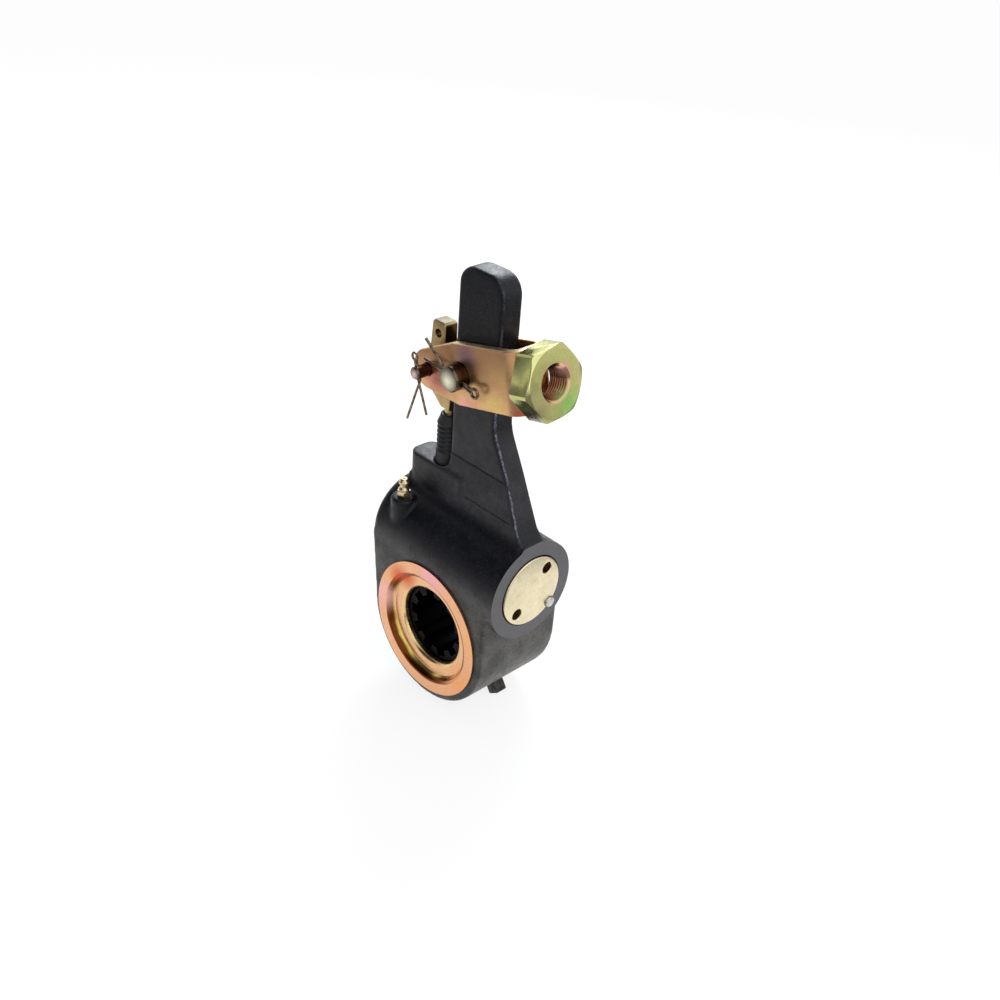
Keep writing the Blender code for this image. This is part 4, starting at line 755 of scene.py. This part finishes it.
NODE_LOOKS = {
    "paint": ["housing", "lube_plug"],
    "wheel": ["worm_wheel"],
    "cover": ["front_cover", "rear_cover"],
    "cap": ["worm_cap"],
    "clevis": ["clevis"],
    "nut": ["push_rod_nut"],
    "link": ["link"],
    "pins": ["clevis_pin", "link_pin"],
    "gold": ["grease_fitting"],
    "dark": ["preload_spring", "clevis_pin_cotter", "link_pin_cotter"],
    "ground": ["worm_shaft", "rack_pinion", "rack_plunger"],
    "rubber": ["front_seal", "rear_seal", "hex_seal", "cap_o_ring", "boot"],
    "bronze": ["arm_bush", "front_bush", "rear_bush", "worm_bush", "thrust_bush"],
    "bright": ["adjusting_hex", "clutch_spring", "thrust_race_left", "thrust_cage", "thrust_race_right",
               "spring_seat", "cap_lock_pin", "plunger_collar"],
}


def dress_nodes(looks):
    for look, names in NODE_LOOKS.items():
        for name in names:
            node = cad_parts[name]
            if not node.material_slots:
                node.data.materials.append(looks[look])
            for slot in node.material_slots:
                slot.material = looks[look]


# Housing

def arm_shape():
    # Past the barrel's end, but not past the cutter that faces it
    past = BARREL_RIGHT + PAST - 0.5 * MM
    reach = FLARE_REACH - ARM_RIGHT
    span = ARM_FLARE_HEIGHT - ARM_FOOT
    outline = softened([
        (ARM_LEFT, ARM_TOP, ARM_CORNER),
        (ARM_LEFT, SHOULDER_TOP, SHOULDER_FILLET),
        (ARM_LEFT - 2 * SHOULDER_FILLET, SHOULDER_TOP),
        (ARM_LEFT - 2 * SHOULDER_FILLET, CENTRE_DISTANCE),
        (past, CENTRE_DISTANCE),
        (past, ARM_FOOT),
        (FLARE_REACH - FLARE_SET_BACK, ARM_FOOT, FLARE_FILLET),
        (ARM_RIGHT + reach * 0.38, ARM_FOOT + span * 0.61, 60 * MM),
        (ARM_RIGHT, ARM_FLARE_HEIGHT, 20 * MM),
        (ARM_RIGHT, ARM_TOP, ARM_CORNER),
    ])
    arm = soften_rims(slab("arm", outline, -ARM_HALF_THICKNESS, ARM_HALF_THICKNESS), "Y", ARM_BEVEL, 3)
    web = slab("web", outline, -WEB_FRONT, 0)
    swell = Vector((0, WEB_FOOT - WEB_TOP, WEB_FRONT - ARM_HALF_THICKNESS))
    trim(web, (0, -ARM_HALF_THICKNESS, WEB_TOP), swell.normalized())
    return [arm, web]


def body_shape():
    """The wheel case: a half disc with straight flanks up to the barrel."""
    bottom = arc(BODY_RADIUS, math.pi, 2 * math.pi, 64)
    outline = [(-BODY_LEFT_TOP, CENTRE_DISTANCE), *bottom, (BODY_RADIUS, CENTRE_DISTANCE)]
    return slab("wheel_case", outline, -BODY_HALF_DEPTH, BODY_HALF_DEPTH)


def barrel_shape():
    profile = [(BARREL_RADIUS, BARREL_LEFT, BARREL_ROUNDING), (BARREL_RADIUS, BARREL_RIGHT + BARREL_STOCK)]
    return settle(turned("barrel", profile, "X"), (0, 0, CENTRE_DISTANCE))


def shoulder_shape():
    half = SHOULDER_HALF_THICKNESS
    plan = softened([(SHOULDER_LEFT, -half, SHOULDER_CORNER), (0, -half), (0, half),
                     (SHOULDER_LEFT, half, SHOULDER_CORNER)])
    return slab("shoulder", plan, CENTRE_DISTANCE, SHOULDER_TOP, "Z")


def sweep_side(half):
    """The concave line from a web of this half thickness down to the barrel, as (y, z) points."""
    centre_y = half + WEB_FILLET
    rise = math.sqrt((BARREL_RADIUS + WEB_FILLET) ** 2 - centre_y ** 2)
    touch = math.atan2(-rise, -centre_y) + 2 * math.pi
    return arc(WEB_FILLET, math.pi, touch, 12, (centre_y, CENTRE_DISTANCE + rise))


def sweep_shape():
    """The sweep that carries the barrel up into the web in front and the arm behind."""
    front = [(-y, z) for y, z in reversed(sweep_side(WEB_FRONT))]
    section = sweep_side(ARM_HALF_THICKNESS) + [(0, CENTRE_DISTANCE)] + front
    sweep = slab("sweep", section, SHOULDER_LEFT, FLARE_REACH + 2 * MM, "X")
    trim(sweep, (FLARE_REACH - FLARE_SET_BACK - 1 * MM, 0, ARM_FOOT + 2 * MM), (0.93, 0, 0.36))
    return sweep


def crease(name, span, height, surface):
    """A thin three-sided rod that leaves a faint groove along the casting's front."""
    section = [(surface - 1 * MM, height - 2 * MM), (surface + CREASE_DEPTH, height),
               (surface - 1 * MM, height + 2 * MM)]
    return slab(name, section, *span, "X")


def boss_shape():
    profile = [(GREASE_BOSS, CENTRE_DISTANCE), (GREASE_BOSS, GREASE_BOSS_TOP, 1.2 * MM)]
    return settle(turned("boss", profile, "Z", SMALL_ROUND), (GREASE_X, GREASE_Y, 0))


def make_housing(looks):
    parts = [body_shape(), barrel_shape(), *arm_shape(), shoulder_shape(), sweep_shape(), boss_shape()]
    housing = merged("cast_housing", *parts)
    apply_step(housing, "REMESH", mode="VOXEL", voxel_size=CAST_GRAIN, use_smooth_shade=True)
    apply_step(housing, "SMOOTH", factor=0.5, iterations=10)

    past = BODY_HALF_DEPTH + PAST
    seat = BODY_HALF_DEPTH - COVER_DEPTH - SEAT_PLAY
    seats = [(COVER_SEAT, -past), (COVER_SEAT, -seat), (WHEEL_BORE, -seat), (WHEEL_BORE, seat),
             (COVER_SEAT, seat), (COVER_SEAT, past)]
    carve(housing, turned("cover_seats", seats, "Y"))
    cap_seat = CAP_FACE - CAP_LENGTH - CLEARANCE
    mouth = CAP_RADIUS + CLEARANCE
    far = 3 * BARREL_RADIUS
    bore = [(LEFT_BORE, BARREL_LEFT - PAST), (LEFT_BORE, WORM_BORE_LEFT), (WORM_BORE, WORM_BORE_LEFT),
            (WORM_BORE, cap_seat), (mouth, cap_seat), (mouth, BARREL_RIGHT - MOUTH_CHAMFER),
            (mouth + MOUTH_CHAMFER, BARREL_RIGHT), (far, BARREL_RIGHT), (far, BARREL_RIGHT + PAST)]
    carve(housing, settle(turned("worm_bore", bore, "X"), (0, 0, CENTRE_DISTANCE)))
    lip = STEM_BORE + WELL_CHAMFER
    well = [(RACK_BORE, WELL_FLOOR), (RACK_BORE, RACK_BORE_TOP), (STEM_BORE, RACK_BORE_TOP),
            (STEM_BORE, SHOULDER_TOP - WELL_CHAMFER), (lip, SHOULDER_TOP), (lip, SHOULDER_TOP + 9 * MM)]
    carve(housing, settle(turned("rack_well", well, "Z"), (RACK_X, 0, 0)))
    drill(housing, "arm_hole", ARM_HOLE, -past, past, "Y", (0, 0, ARM_LENGTH))
    drill(housing, "lock_hole", *LOCK_HOLE)
    drill(housing, "fitting_hole", GREASE_THREAD + CLEARANCE, GREASE_BOSS_TOP - 7 * MM,
          GREASE_BOSS_TOP + PAST, "Z", (GREASE_X, GREASE_Y, 0))
    plug = rod("plug_hole", PLUG_SHANK + CLEARANCE, WHEEL_BORE - 3 * MM, BODY_RADIUS + 3 * MM, "X",
               SMALL_ROUND)
    carve(housing, to_plug(plug))
    carve(housing, crease("upper_crease", UPPER_CREASE, WEB_TOP, -ARM_HALF_THICKNESS))
    carve(housing, crease("lower_crease", LOWER_CREASE, WEB_FOOT, -WEB_FRONT))
    finished(housing, "housing", looks["paint"], ["housing"])


def to_plug(obj):
    return settle(obj, (0, PLUG_Y, 0), (0, -PLUG_ANGLE, 0))


# Covers

def make_cover(side, name, node, looks):
    """A pressed ring: flange, dished channel, inner ring and the lip rolled into the bore."""
    rim = BODY_HALF_DEPTH + COVER_GAP
    dish = rim - COVER_DEPTH
    line = [(COVER_RADIUS, rim), (COVER_SEAT - 1.1 * MM, rim, 1.2 * MM),
            (COVER_SEAT - 3.2 * MM, dish, 1.2 * MM), (COVER_HOLE + 1.0 * MM, dish, 1.5 * MM),
            (COVER_HOLE + 0.9 * MM, HUB_HALF_LENGTH + 0.7 * MM)]
    middle = softened(line, 6)
    near_side, far_side = [], []
    for index, point in enumerate(middle):
        here = Vector(point)
        ahead = Vector(middle[min(index + 1, len(middle) - 1)])
        behind = Vector(middle[max(index - 1, 0)])
        along = (ahead - behind).normalized()
        near_side.append((here.x, side * here.y))
        out = here + Vector((along.y, -along.x)) * COVER_SHEET
        far_side.append((out.x, side * out.y))
    cover = turn(name, near_side + far_side[::-1], "Y", closed=True)
    return finished(cover, "housing", looks["cover"], [node], 50)


# Cap and lock pin

def spanner_places(depth):
    """Where the cap's two spanner holes lie, this deep below its face."""
    round_cap = arc(CAP_HOLE_PITCH, CAP_HOLE_ANGLE, CAP_HOLE_ANGLE + math.pi, 1, (0, CENTRE_DISTANCE))
    return [(CAP_FACE - depth, y, z) for y, z in round_cap]


def make_cap(looks):
    profile = [(CAP_RADIUS, CAP_FACE - CAP_LENGTH), (CAP_RADIUS, CAP_FACE, 0.6 * MM)]
    cap = settle(turned("threaded_cap", profile, "X", rounding=5), (0, 0, CENTRE_DISTANCE))
    top = CAP_HOLE_DEPTH
    rim = CAP_HOLE_RADIUS + 0.4 * MM
    for spot in spanner_places(top):
        hole = turn("spanner_hole", [(0, -0.8 * MM), (CAP_HOLE_RADIUS, 0), (CAP_HOLE_RADIUS, top - 0.3 * MM),
                                     (rim, top + 0.1 * MM), (rim, top + 1 * MM), (0, top + 1 * MM)], "X",
                    SMALL_ROUND)
        carve(cap, settle(hole, spot))
    drill(cap, "lock_notch", *LOCK_HOLE)
    finished(cap, "housing", looks["cap"], ["worm_cap"], 30)

    profile = [(LOCK_PIN_RADIUS, LOCK_PIN_BACK), (LOCK_PIN_RADIUS, LOCK_PIN_FACE, 0.5 * MM)]
    pin = settle(turned("lock_pin", profile, "X", SMALL_ROUND, 5), LOCK_PIN_PLACE)
    finished(pin, "housing", looks["bright"], ["cap_lock_pin"], 30)


# Clevis and nut

def make_clevis(looks):
    inner_bend = CLEVIS_BEND - CLEVIS_PLATE
    tail = -(LINK_PIN_ARM + CLEVIS_NOSE_RADIUS + 2 * MM)
    floor = CLEVIS_BASE - CLEVIS_PLATE
    strap = softened([
        (tail, -CLEVIS_OUTER), (CLEVIS_BASE, -CLEVIS_OUTER, CLEVIS_BEND),
        (CLEVIS_BASE, CLEVIS_OUTER, CLEVIS_BEND), (tail, CLEVIS_OUTER), (tail, CLEVIS_GAP),
        (floor, CLEVIS_GAP, inner_bend), (floor, -CLEVIS_GAP, inner_bend), (tail, -CLEVIS_GAP),
    ], 12)
    clevis = slab("clevis_strap", strap, -CLEVIS_HALF_HEIGHT, CLEVIS_HALF_HEIGHT, "Z")

    top = CLEVIS_HALF_HEIGHT + 1 * MM
    end = CLEVIS_BASE + 1 * MM
    slope = math.atan2(CLEVIS_HALF_HEIGHT - CLEVIS_NOSE_RADIUS, LINK_PIN_ARM + CLEVIS_TAPER_START)
    start = (math.pi + slope) / 2
    nose = arc(CLEVIS_NOSE_RADIUS, start, 2 * math.pi - start, 32, (-LINK_PIN_ARM, 0))
    side = [(end, -top), (end, top), (CLEVIS_TAPER_START, top), (CLEVIS_TAPER_START, CLEVIS_HALF_HEIGHT),
            *nose, (CLEVIS_TAPER_START, -CLEVIS_HALF_HEIGHT), (CLEVIS_TAPER_START, -top)]
    across = 2 * CLEVIS_OUTER
    carve(clevis, slab("side", side, -across, across), "INTERSECT")
    apply_step(clevis, "BEVEL", width=0.7 * MM, segments=3, limit_method="ANGLE",
               angle_limit=math.radians(40), use_clamp_overlap=True)

    drill(clevis, "pin_hole", MAIN_PIN_RADIUS + CLEARANCE, -across, across, "Y")
    drill(clevis, "small_hole", LINK_PIN_RADIUS + CLEARANCE, -across, across, "Y", (-LINK_PIN_ARM, 0, 0))
    drill(clevis, "rod_hole", NUT_MAJOR + 0.4 * MM, floor - 1 * MM, end, "X")
    to_clevis(clevis)
    finished(clevis, "clevis", looks["clevis"], ["clevis"], 30)


def make_nut(looks):
    near_face = CLEVIS_BASE + CLEARANCE
    face = near_face + NUT_LENGTH
    half = NUT_CORNER_RADIUS * math.cos(math.pi / 6)
    nut = slab("hex_nut", hexagon(2 * half, math.pi / 2 - NUT_TURN), near_face, face, "X")
    crown = [(NUT_CORNER_TRIM, near_face), (NUT_CORNER_TRIM, face - 1.3 * MM),
             (half - 0.3 * MM, face, 0.4 * MM)]
    carve(nut, turned("crown", crown, "X", 2 * ROUND, 4), "INTERSECT")
    carve(nut, screw_rod("thread", NUT_MINOR, NUT_MAJOR, NUT_PITCH, near_face - 1 * MM, face + 1 * MM))
    mouth = [(NUT_MINOR - 0.3 * MM, face - 2 * MM), (NUT_CHAMFER + 0.4 * MM, face + 0.4 * MM)]
    carve(nut, turned("mouth", mouth, "X"))
    to_clevis(nut)
    finished(nut, "clevis", looks["nut"], ["push_rod_nut"], 30)


# Link and boot

def make_link(looks):
    """The plated link: a flat head with a small eye above, a V down to the rod, and the ball in the rack."""
    right = LINK_PIN_X + 8.2 * MM
    head = slab("drop_link", softened([
        (LINK_PIN_X - 6.8 * MM, LINK_TOP, 1.8 * MM),
        (LINK_PIN_X - 9.6 * MM, LINK_PIN_Z - 12.6 * MM, 3.5 * MM),
        (RACK_X - LINK_ROD, LINK_FOOT),
        (RACK_X + LINK_ROD, LINK_FOOT),
        (right, LINK_PIN_Z - 14 * MM, 3 * MM),
        (right, LINK_PIN_Z + 5 * MM, 4 * MM),
        (LINK_PIN_X + 2.6 * MM, LINK_PIN_Z + 12 * MM, 3 * MM),
        (LINK_PIN_X + 2.4 * MM, LINK_TOP, 1.8 * MM),
    ]), -LINK_HALF_THICKNESS, LINK_HALF_THICKNESS)
    soften_rims(head, "Y", 0.8 * MM)
    ball = arc(LINK_BALL, -math.pi / 2, math.pi / 2, 25, (0, LINK_BALL_HEIGHT))[1:22]
    joint = LINK_FOOT + 2 * MM
    rod_line = [(0, LINK_BALL_HEIGHT - LINK_BALL), *ball, (LINK_ROD - 0.2 * MM, LINK_BALL_HEIGHT + 5 * MM),
                (LINK_ROD, LINK_BALL_HEIGHT + 6 * MM), (LINK_ROD, joint), (0, joint)]
    carve(head, settle(turn("link_rod", rod_line, "Z", SMALL_ROUND), (RACK_X, 0, 0)), "UNION")
    through = 20 * MM
    drill(head, "link_hole", LINK_PIN_RADIUS + CLEARANCE, -through, through, "Y", (LINK_PIN_X, 0, LINK_PIN_Z))
    drill(head, "link_eye", LINK_HOLE, -through, through, "Y", LINK_EYE)
    finished(head, "link", looks["link"], ["link"], 40)


def make_boot(looks):
    """Moulded bellows: a sleeve in the shoulder, round folds and a neck on the link's rod."""
    foot = SHOULDER_TOP - BOOT_DEPTH
    above = BOOT_TOP - SHOULDER_TOP
    start = SHOULDER_TOP + BOOT_SLEEVE * above
    pitch = BOOT_FOLDED * above / BOOT_FOLDS
    taper = BOOT_TOP - BOOT_TAPER * above
    neck = LINK_ROD + BOOT_NECK_GAP
    deep = BOOT_RADIUS - BOOT_FOLD_DEPTH
    lining = BOOT_RADIUS - BOOT_WALL
    outside = [(BOOT_RADIUS, foot), (BOOT_RADIUS, start, 0.5 * MM)]
    inside = [(lining, foot), (lining, start)]
    for fold in range(BOOT_FOLDS):
        valley = start + (fold + 0.5) * pitch
        ridge = start + (fold + 1) * pitch
        outside += [(deep, valley, 0.3 * MM), (BOOT_RADIUS, ridge, 0.5 * MM)]
        inside += [(deep - BOOT_WALL, valley), (lining, ridge)]
    outside += [(deep, taper, 0.6 * MM), (neck + BOOT_WALL, BOOT_TOP, 0.4 * MM), (neck, BOOT_TOP)]
    inside += [(neck, taper - BOOT_WALL / 2)]
    profile = softened(outside + inside[::-1], 4)
    boot = settle(turn("rubber_boot", profile, "Z", 64, closed=True), (RACK_X, 0, 0))
    finished(boot, None, looks["rubber"], ["boot"], 60)
    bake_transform(boot)


# Pins and cotters

def pin_shape(name, radius, front, head_radius, steps):
    back = CLEVIS_OUTER + CLEARANCE
    profile = [(radius - 0.6 * MM, front, 0.3 * MM), (radius, front + 0.8 * MM, 0.3 * MM), (radius, back),
               (head_radius, back, 0.3 * MM), (head_radius, back + HEAD_THICKNESS, 0.8 * MM)]
    return turned(name, profile, "Y", steps, 4)


def cotter_wire(name, eye, tips, radius, y, pin_radius):
    """A split pin: two legs that part where they leave the pin's far side, and a round eye."""
    eye = Vector((eye[0], 0, eye[1])) * MM
    upper_tip, lower_tip = (Vector((x, 0, z)) * MM for x, z in tips)
    line = eye.normalized()
    across = Vector((-line.z, 0, line.x))
    lie = across * (radius + 0.06 * MM)
    bow = 2.9 * radius
    reach = eye.length - bow
    parting = line * -(pin_radius + 0.6 * MM)
    throat = line * (reach - bow * 0.3)
    upper_bend = parting + lie
    lower_bend = parting - lie
    upper = [upper_tip, upper_bend.lerp(upper_tip, 0.3), upper_bend, lie, throat + lie]
    ring = arc(bow, math.radians(130), math.radians(-130), 12, (reach + bow, 0))
    loop = [line * along + across * side for along, side in ring]
    lower = [throat - lie, -lie, lower_bend, lower_bend.lerp(lower_tip, 0.3), lower_tip]
    path = [point + Vector((0, y, 0)) for point in smooth_line(upper + loop + lower, 4)]
    return wire(name, path, radius)


def make_pin(name, place, size, steps, cotter, look, looks):
    """A headed pin, with a size of (radius, front, head radius), and the split pin through it."""
    eye, tips, thickness, y = cotter
    pin = settle(pin_shape(name + "_turned", *size, steps), place)
    reach = Vector((eye[0], 0, eye[1])).normalized() * 2 * size[0]
    hole = wire("cotter_hole", [-reach, reach], 2 * thickness + CLEARANCE)
    carve(pin, settle(hole, (place[0], y, place[2])))
    finished(pin, "clevis", looks[look], [name])
    split = cotter_wire(name.replace("pin", "cotter"), *cotter, size[0])
    finished(settle(split, place), "clevis", looks["cotter"], [name + "_cotter"], 80)


# Fittings and the adjusting hexagon

def make_fittings(looks):
    top = GREASE_BOSS_TOP
    nut_top = top + 3.2 * MM
    fitting = slab("grease_nipple", hexagon(GREASE_HEX, 0.3), top + CLEARANCE, nut_top, "Z")
    half = GREASE_HEX / 2
    wide = half + 0.6 * MM
    crown = [(half + 0.1 * MM, top), (wide, top + 0.5 * MM), (wide, nut_top - 0.5 * MM), (half, nut_top)]
    carve(fitting, turned("hex_crown", crown, "Z", SMALL_ROUND), "INTERSECT")
    nipple = [
        (GREASE_THREAD, top - 6 * MM), (GREASE_THREAD, top + 1 * MM),
        (2.9 * MM, nut_top + 0.9 * MM, 0.3 * MM), (1.9 * MM, nut_top + 2.0 * MM, 0.4 * MM),
        (1.9 * MM, nut_top + 3.1 * MM, 0.3 * MM), (2.7 * MM, nut_top + 4.1 * MM, 0.4 * MM),
        (2.7 * MM, nut_top + 4.9 * MM, 0.6 * MM), (1.5 * MM, top + 10 * MM, 0.3 * MM),
        (0.8 * MM, top + 10 * MM, 0.2 * MM), (0.5 * MM, top + 8.8 * MM),
    ]
    carve(fitting, turned("nipple", nipple, "Z", SMALL_ROUND, 4), "UNION")
    settle(fitting, (GREASE_X, GREASE_Y, 0))
    finished(fitting, "housing", looks["gold"], ["grease_fitting"])

    half = PLUG_SQUARE / 2
    corners = ((-half, -half), (half, -half), (half, half), (-half, half))
    square = softened([(u, v, 0.9 * MM) for u, v in corners], 5)
    plug = slab("square_plug", square, BODY_RADIUS + 0.5 * MM, BODY_RADIUS + PLUG_HEAD, "X")
    soften_rims(plug, "X", 0.7 * MM)
    shank = rod("plug_shank", PLUG_SHANK, WHEEL_BORE + 2 * MM, BODY_RADIUS + 1 * MM, "X", SMALL_ROUND)
    carve(plug, shank, "UNION")
    finished(to_plug(plug), "housing", looks["plug"], ["lube_plug"])


def make_hex(looks):
    outside = BARREL_LEFT - 1 * MM
    key = slab("adjusting_hexagon", hexagon(HEX_ACROSS_FLATS, math.pi / 6), HEX_LEFT, outside, "X")
    half = HEX_ACROSS_FLATS / 2
    wide = half + 1.0 * MM
    crown = [(half - 0.2 * MM, HEX_LEFT), (wide, HEX_LEFT + 0.9 * MM), (wide, outside)]
    carve(key, turned("hex_crown", crown, "X"), "INTERSECT")
    journal = rod("hex_journal", HEX_JOURNAL, outside - 1 * MM, HEX_JOURNAL_END, "X", SMALL_ROUND)
    carve(key, journal, "UNION")
    drill(key, "hex_bore", HEX_BORE, HEX_BORE_LEFT, HEX_JOURNAL_END + 1 * MM, "X")
    settle(key, (0, 0, CENTRE_DISTANCE))
    finished(key, "worm", looks["bright"], ["adjusting_hex"], 30)


# Stage

def make_camera():
    turn_angle = math.radians(CAMERA_TURN)
    rise = math.radians(CAMERA_RISE)
    roll = math.radians(CAMERA_ROLL)
    right = Vector((math.cos(turn_angle), math.sin(turn_angle), 0))
    level = Vector((math.sin(turn_angle), -math.cos(turn_angle), 0))
    back = level * math.cos(rise) + Vector((0, 0, math.sin(rise)))
    up = back.cross(right)
    across = right * math.cos(roll) + up * math.sin(roll)
    above = up * math.cos(roll) - right * math.sin(roll)
    data = bpy.data.cameras.new("camera")
    data.lens = CAMERA_LENS
    data.sensor_width = 36.0
    data.clip_start = 0.01
    camera = bpy.data.objects.new("camera", data)
    facing = Matrix((across, above, back)).transposed().to_4x4()
    camera.matrix_world = Matrix.Translation(CAMERA_PLACE) @ facing
    bpy.context.scene.collection.objects.link(camera)
    bpy.context.scene.camera = camera


def make_world():
    """A white room with a darker, faintly blue patch above and in front, as behind a camera."""
    world = bpy.data.worlds.new("studio")
    bpy.context.scene.world = world
    world.use_nodes = True
    tree = world.node_tree
    direction = put(tree, "TexCoord").outputs["Generated"]
    behind_camera = Vector((-0.45, -0.62, 0.64)).normalized()
    match = arrows(tree, "DOT_PRODUCT", direction, behind_camera).outputs["Value"]
    dark = ranged(tree, match, 0.72, 0.9)
    colour = mixed(tree, dark, (1.0, 1.0, 1.0, 1.0), (0.05, 0.06, 0.09, 1.0))
    room = tree.nodes["Background"]
    tree.links.new(colour, room.inputs["Color"])
    room.inputs["Strength"].default_value = 0.95
    white = put(tree, "Background", {"Color": (1.0, 1.0, 1.0, 1.0), "Strength": 1.0})
    whole = blended(tree, put(tree, "LightPath").outputs["Is Camera Ray"], room, white)
    tree.links.new(whole, tree.nodes["World Output"].inputs["Surface"])


def make_floor():
    low = Vector(cad_box[0])
    bpy.ops.object.select_all(action="DESELECT")
    bpy.ops.mesh.primitive_circle_add(vertices=96, radius=3.0, fill_type="NGON",
                                      location=(0, 0, low.z - 0.5 * MM))
    floor = bpy.context.object
    floor.name = "floor"
    material = bpy.data.materials.new("pale_floor")
    material.use_nodes = True
    tree = material.node_tree
    shader = tree.nodes["Principled BSDF"]
    shader.inputs["Base Color"].default_value = tone(244, 244, 244)
    shader.inputs["Roughness"].default_value = 0.8
    rays = put(tree, "LightPath")
    split = put(tree, "SeparateXYZ", {"Vector": put(tree, "TexCoord").outputs["Object"]})
    across = sums(tree, "ADD", split.outputs["X"], split.outputs["Y"])
    along = sums(tree, "SUBTRACT", split.outputs["X"], split.outputs["Y"])
    # The floor glows for camera and glossy rays; darker zones in its glow for glossy rays paint dark
    # reflections on the metal, in front, at the right and in a ring behind
    in_front = ranged(tree, product(tree, across, -0.7071), 0.36, 0.44)
    at_right = ranged(tree, product(tree, along, 0.7071), 0.09, 0.17, 0.0, 0.95)
    behind = product(tree, across, 0.7071)
    ring_behind = product(tree, ranged(tree, behind, 0.18, 0.25), ranged(tree, behind, 0.6, 0.95, 1.0, 0.0))
    dark = sums(tree, "MAXIMUM", sums(tree, "MAXIMUM", in_front, ring_behind), at_right)
    glossy = rays.outputs["Is Glossy Ray"]
    strength = sums(tree, "SUBTRACT", 1.06, product(tree, dark, glossy))
    glow = put(tree, "Emission", {"Color": (1.0, 1.0, 1.0, 1.0), "Strength": strength})
    seen = sums(tree, "MAXIMUM", rays.outputs["Is Camera Ray"], glossy)
    whole = blended(tree, product(tree, seen, 0.78), shader, glow)
    tree.links.new(whole, tree.nodes["Material Output"].inputs["Surface"])
    floor.data.materials.append(material)


def make_lamp(name, place, size, power):
    data = bpy.data.lights.new(name, "AREA")
    data.size = size
    data.energy = power
    data.color = LAMP_COLOUR
    lamp = bpy.data.objects.new(name, data)
    lamp.location = place
    aim = Vector((0, 0, 0.07)) - Vector(place)
    lamp.rotation_euler = aim.to_track_quat("-Z", "Y").to_euler()
    bpy.context.scene.collection.objects.link(lamp)


bpy.context.scene.view_settings.view_transform = "Standard"
make_camera()
make_world()
make_floor()
make_lamp("back_left_light", (-0.5, 0.7, 0.7), 0.6, 8.0)
make_lamp("right_light", (0.9, 0.1, 0.6), 0.9, 2.0)

looks = make_looks()
dress_nodes(looks)
make_housing(looks)
make_cover(-1, "front_dish", "front_cover", looks)
make_cover(1, "rear_dish", "rear_cover", looks)
make_cap(looks)
make_clevis(looks)
make_nut(looks)
make_link(looks)
make_boot(looks)
make_pin("clevis_pin", (0, 0, ARM_LENGTH), MAIN_PIN, ROUND, MAIN_COTTER, "pin", looks)
make_pin("link_pin", (LINK_PIN_X, 0, LINK_PIN_Z), LINK_PIN, SMALL_ROUND, LINK_COTTER, "small_pin", looks)
make_fittings(looks)
make_hex(looks)
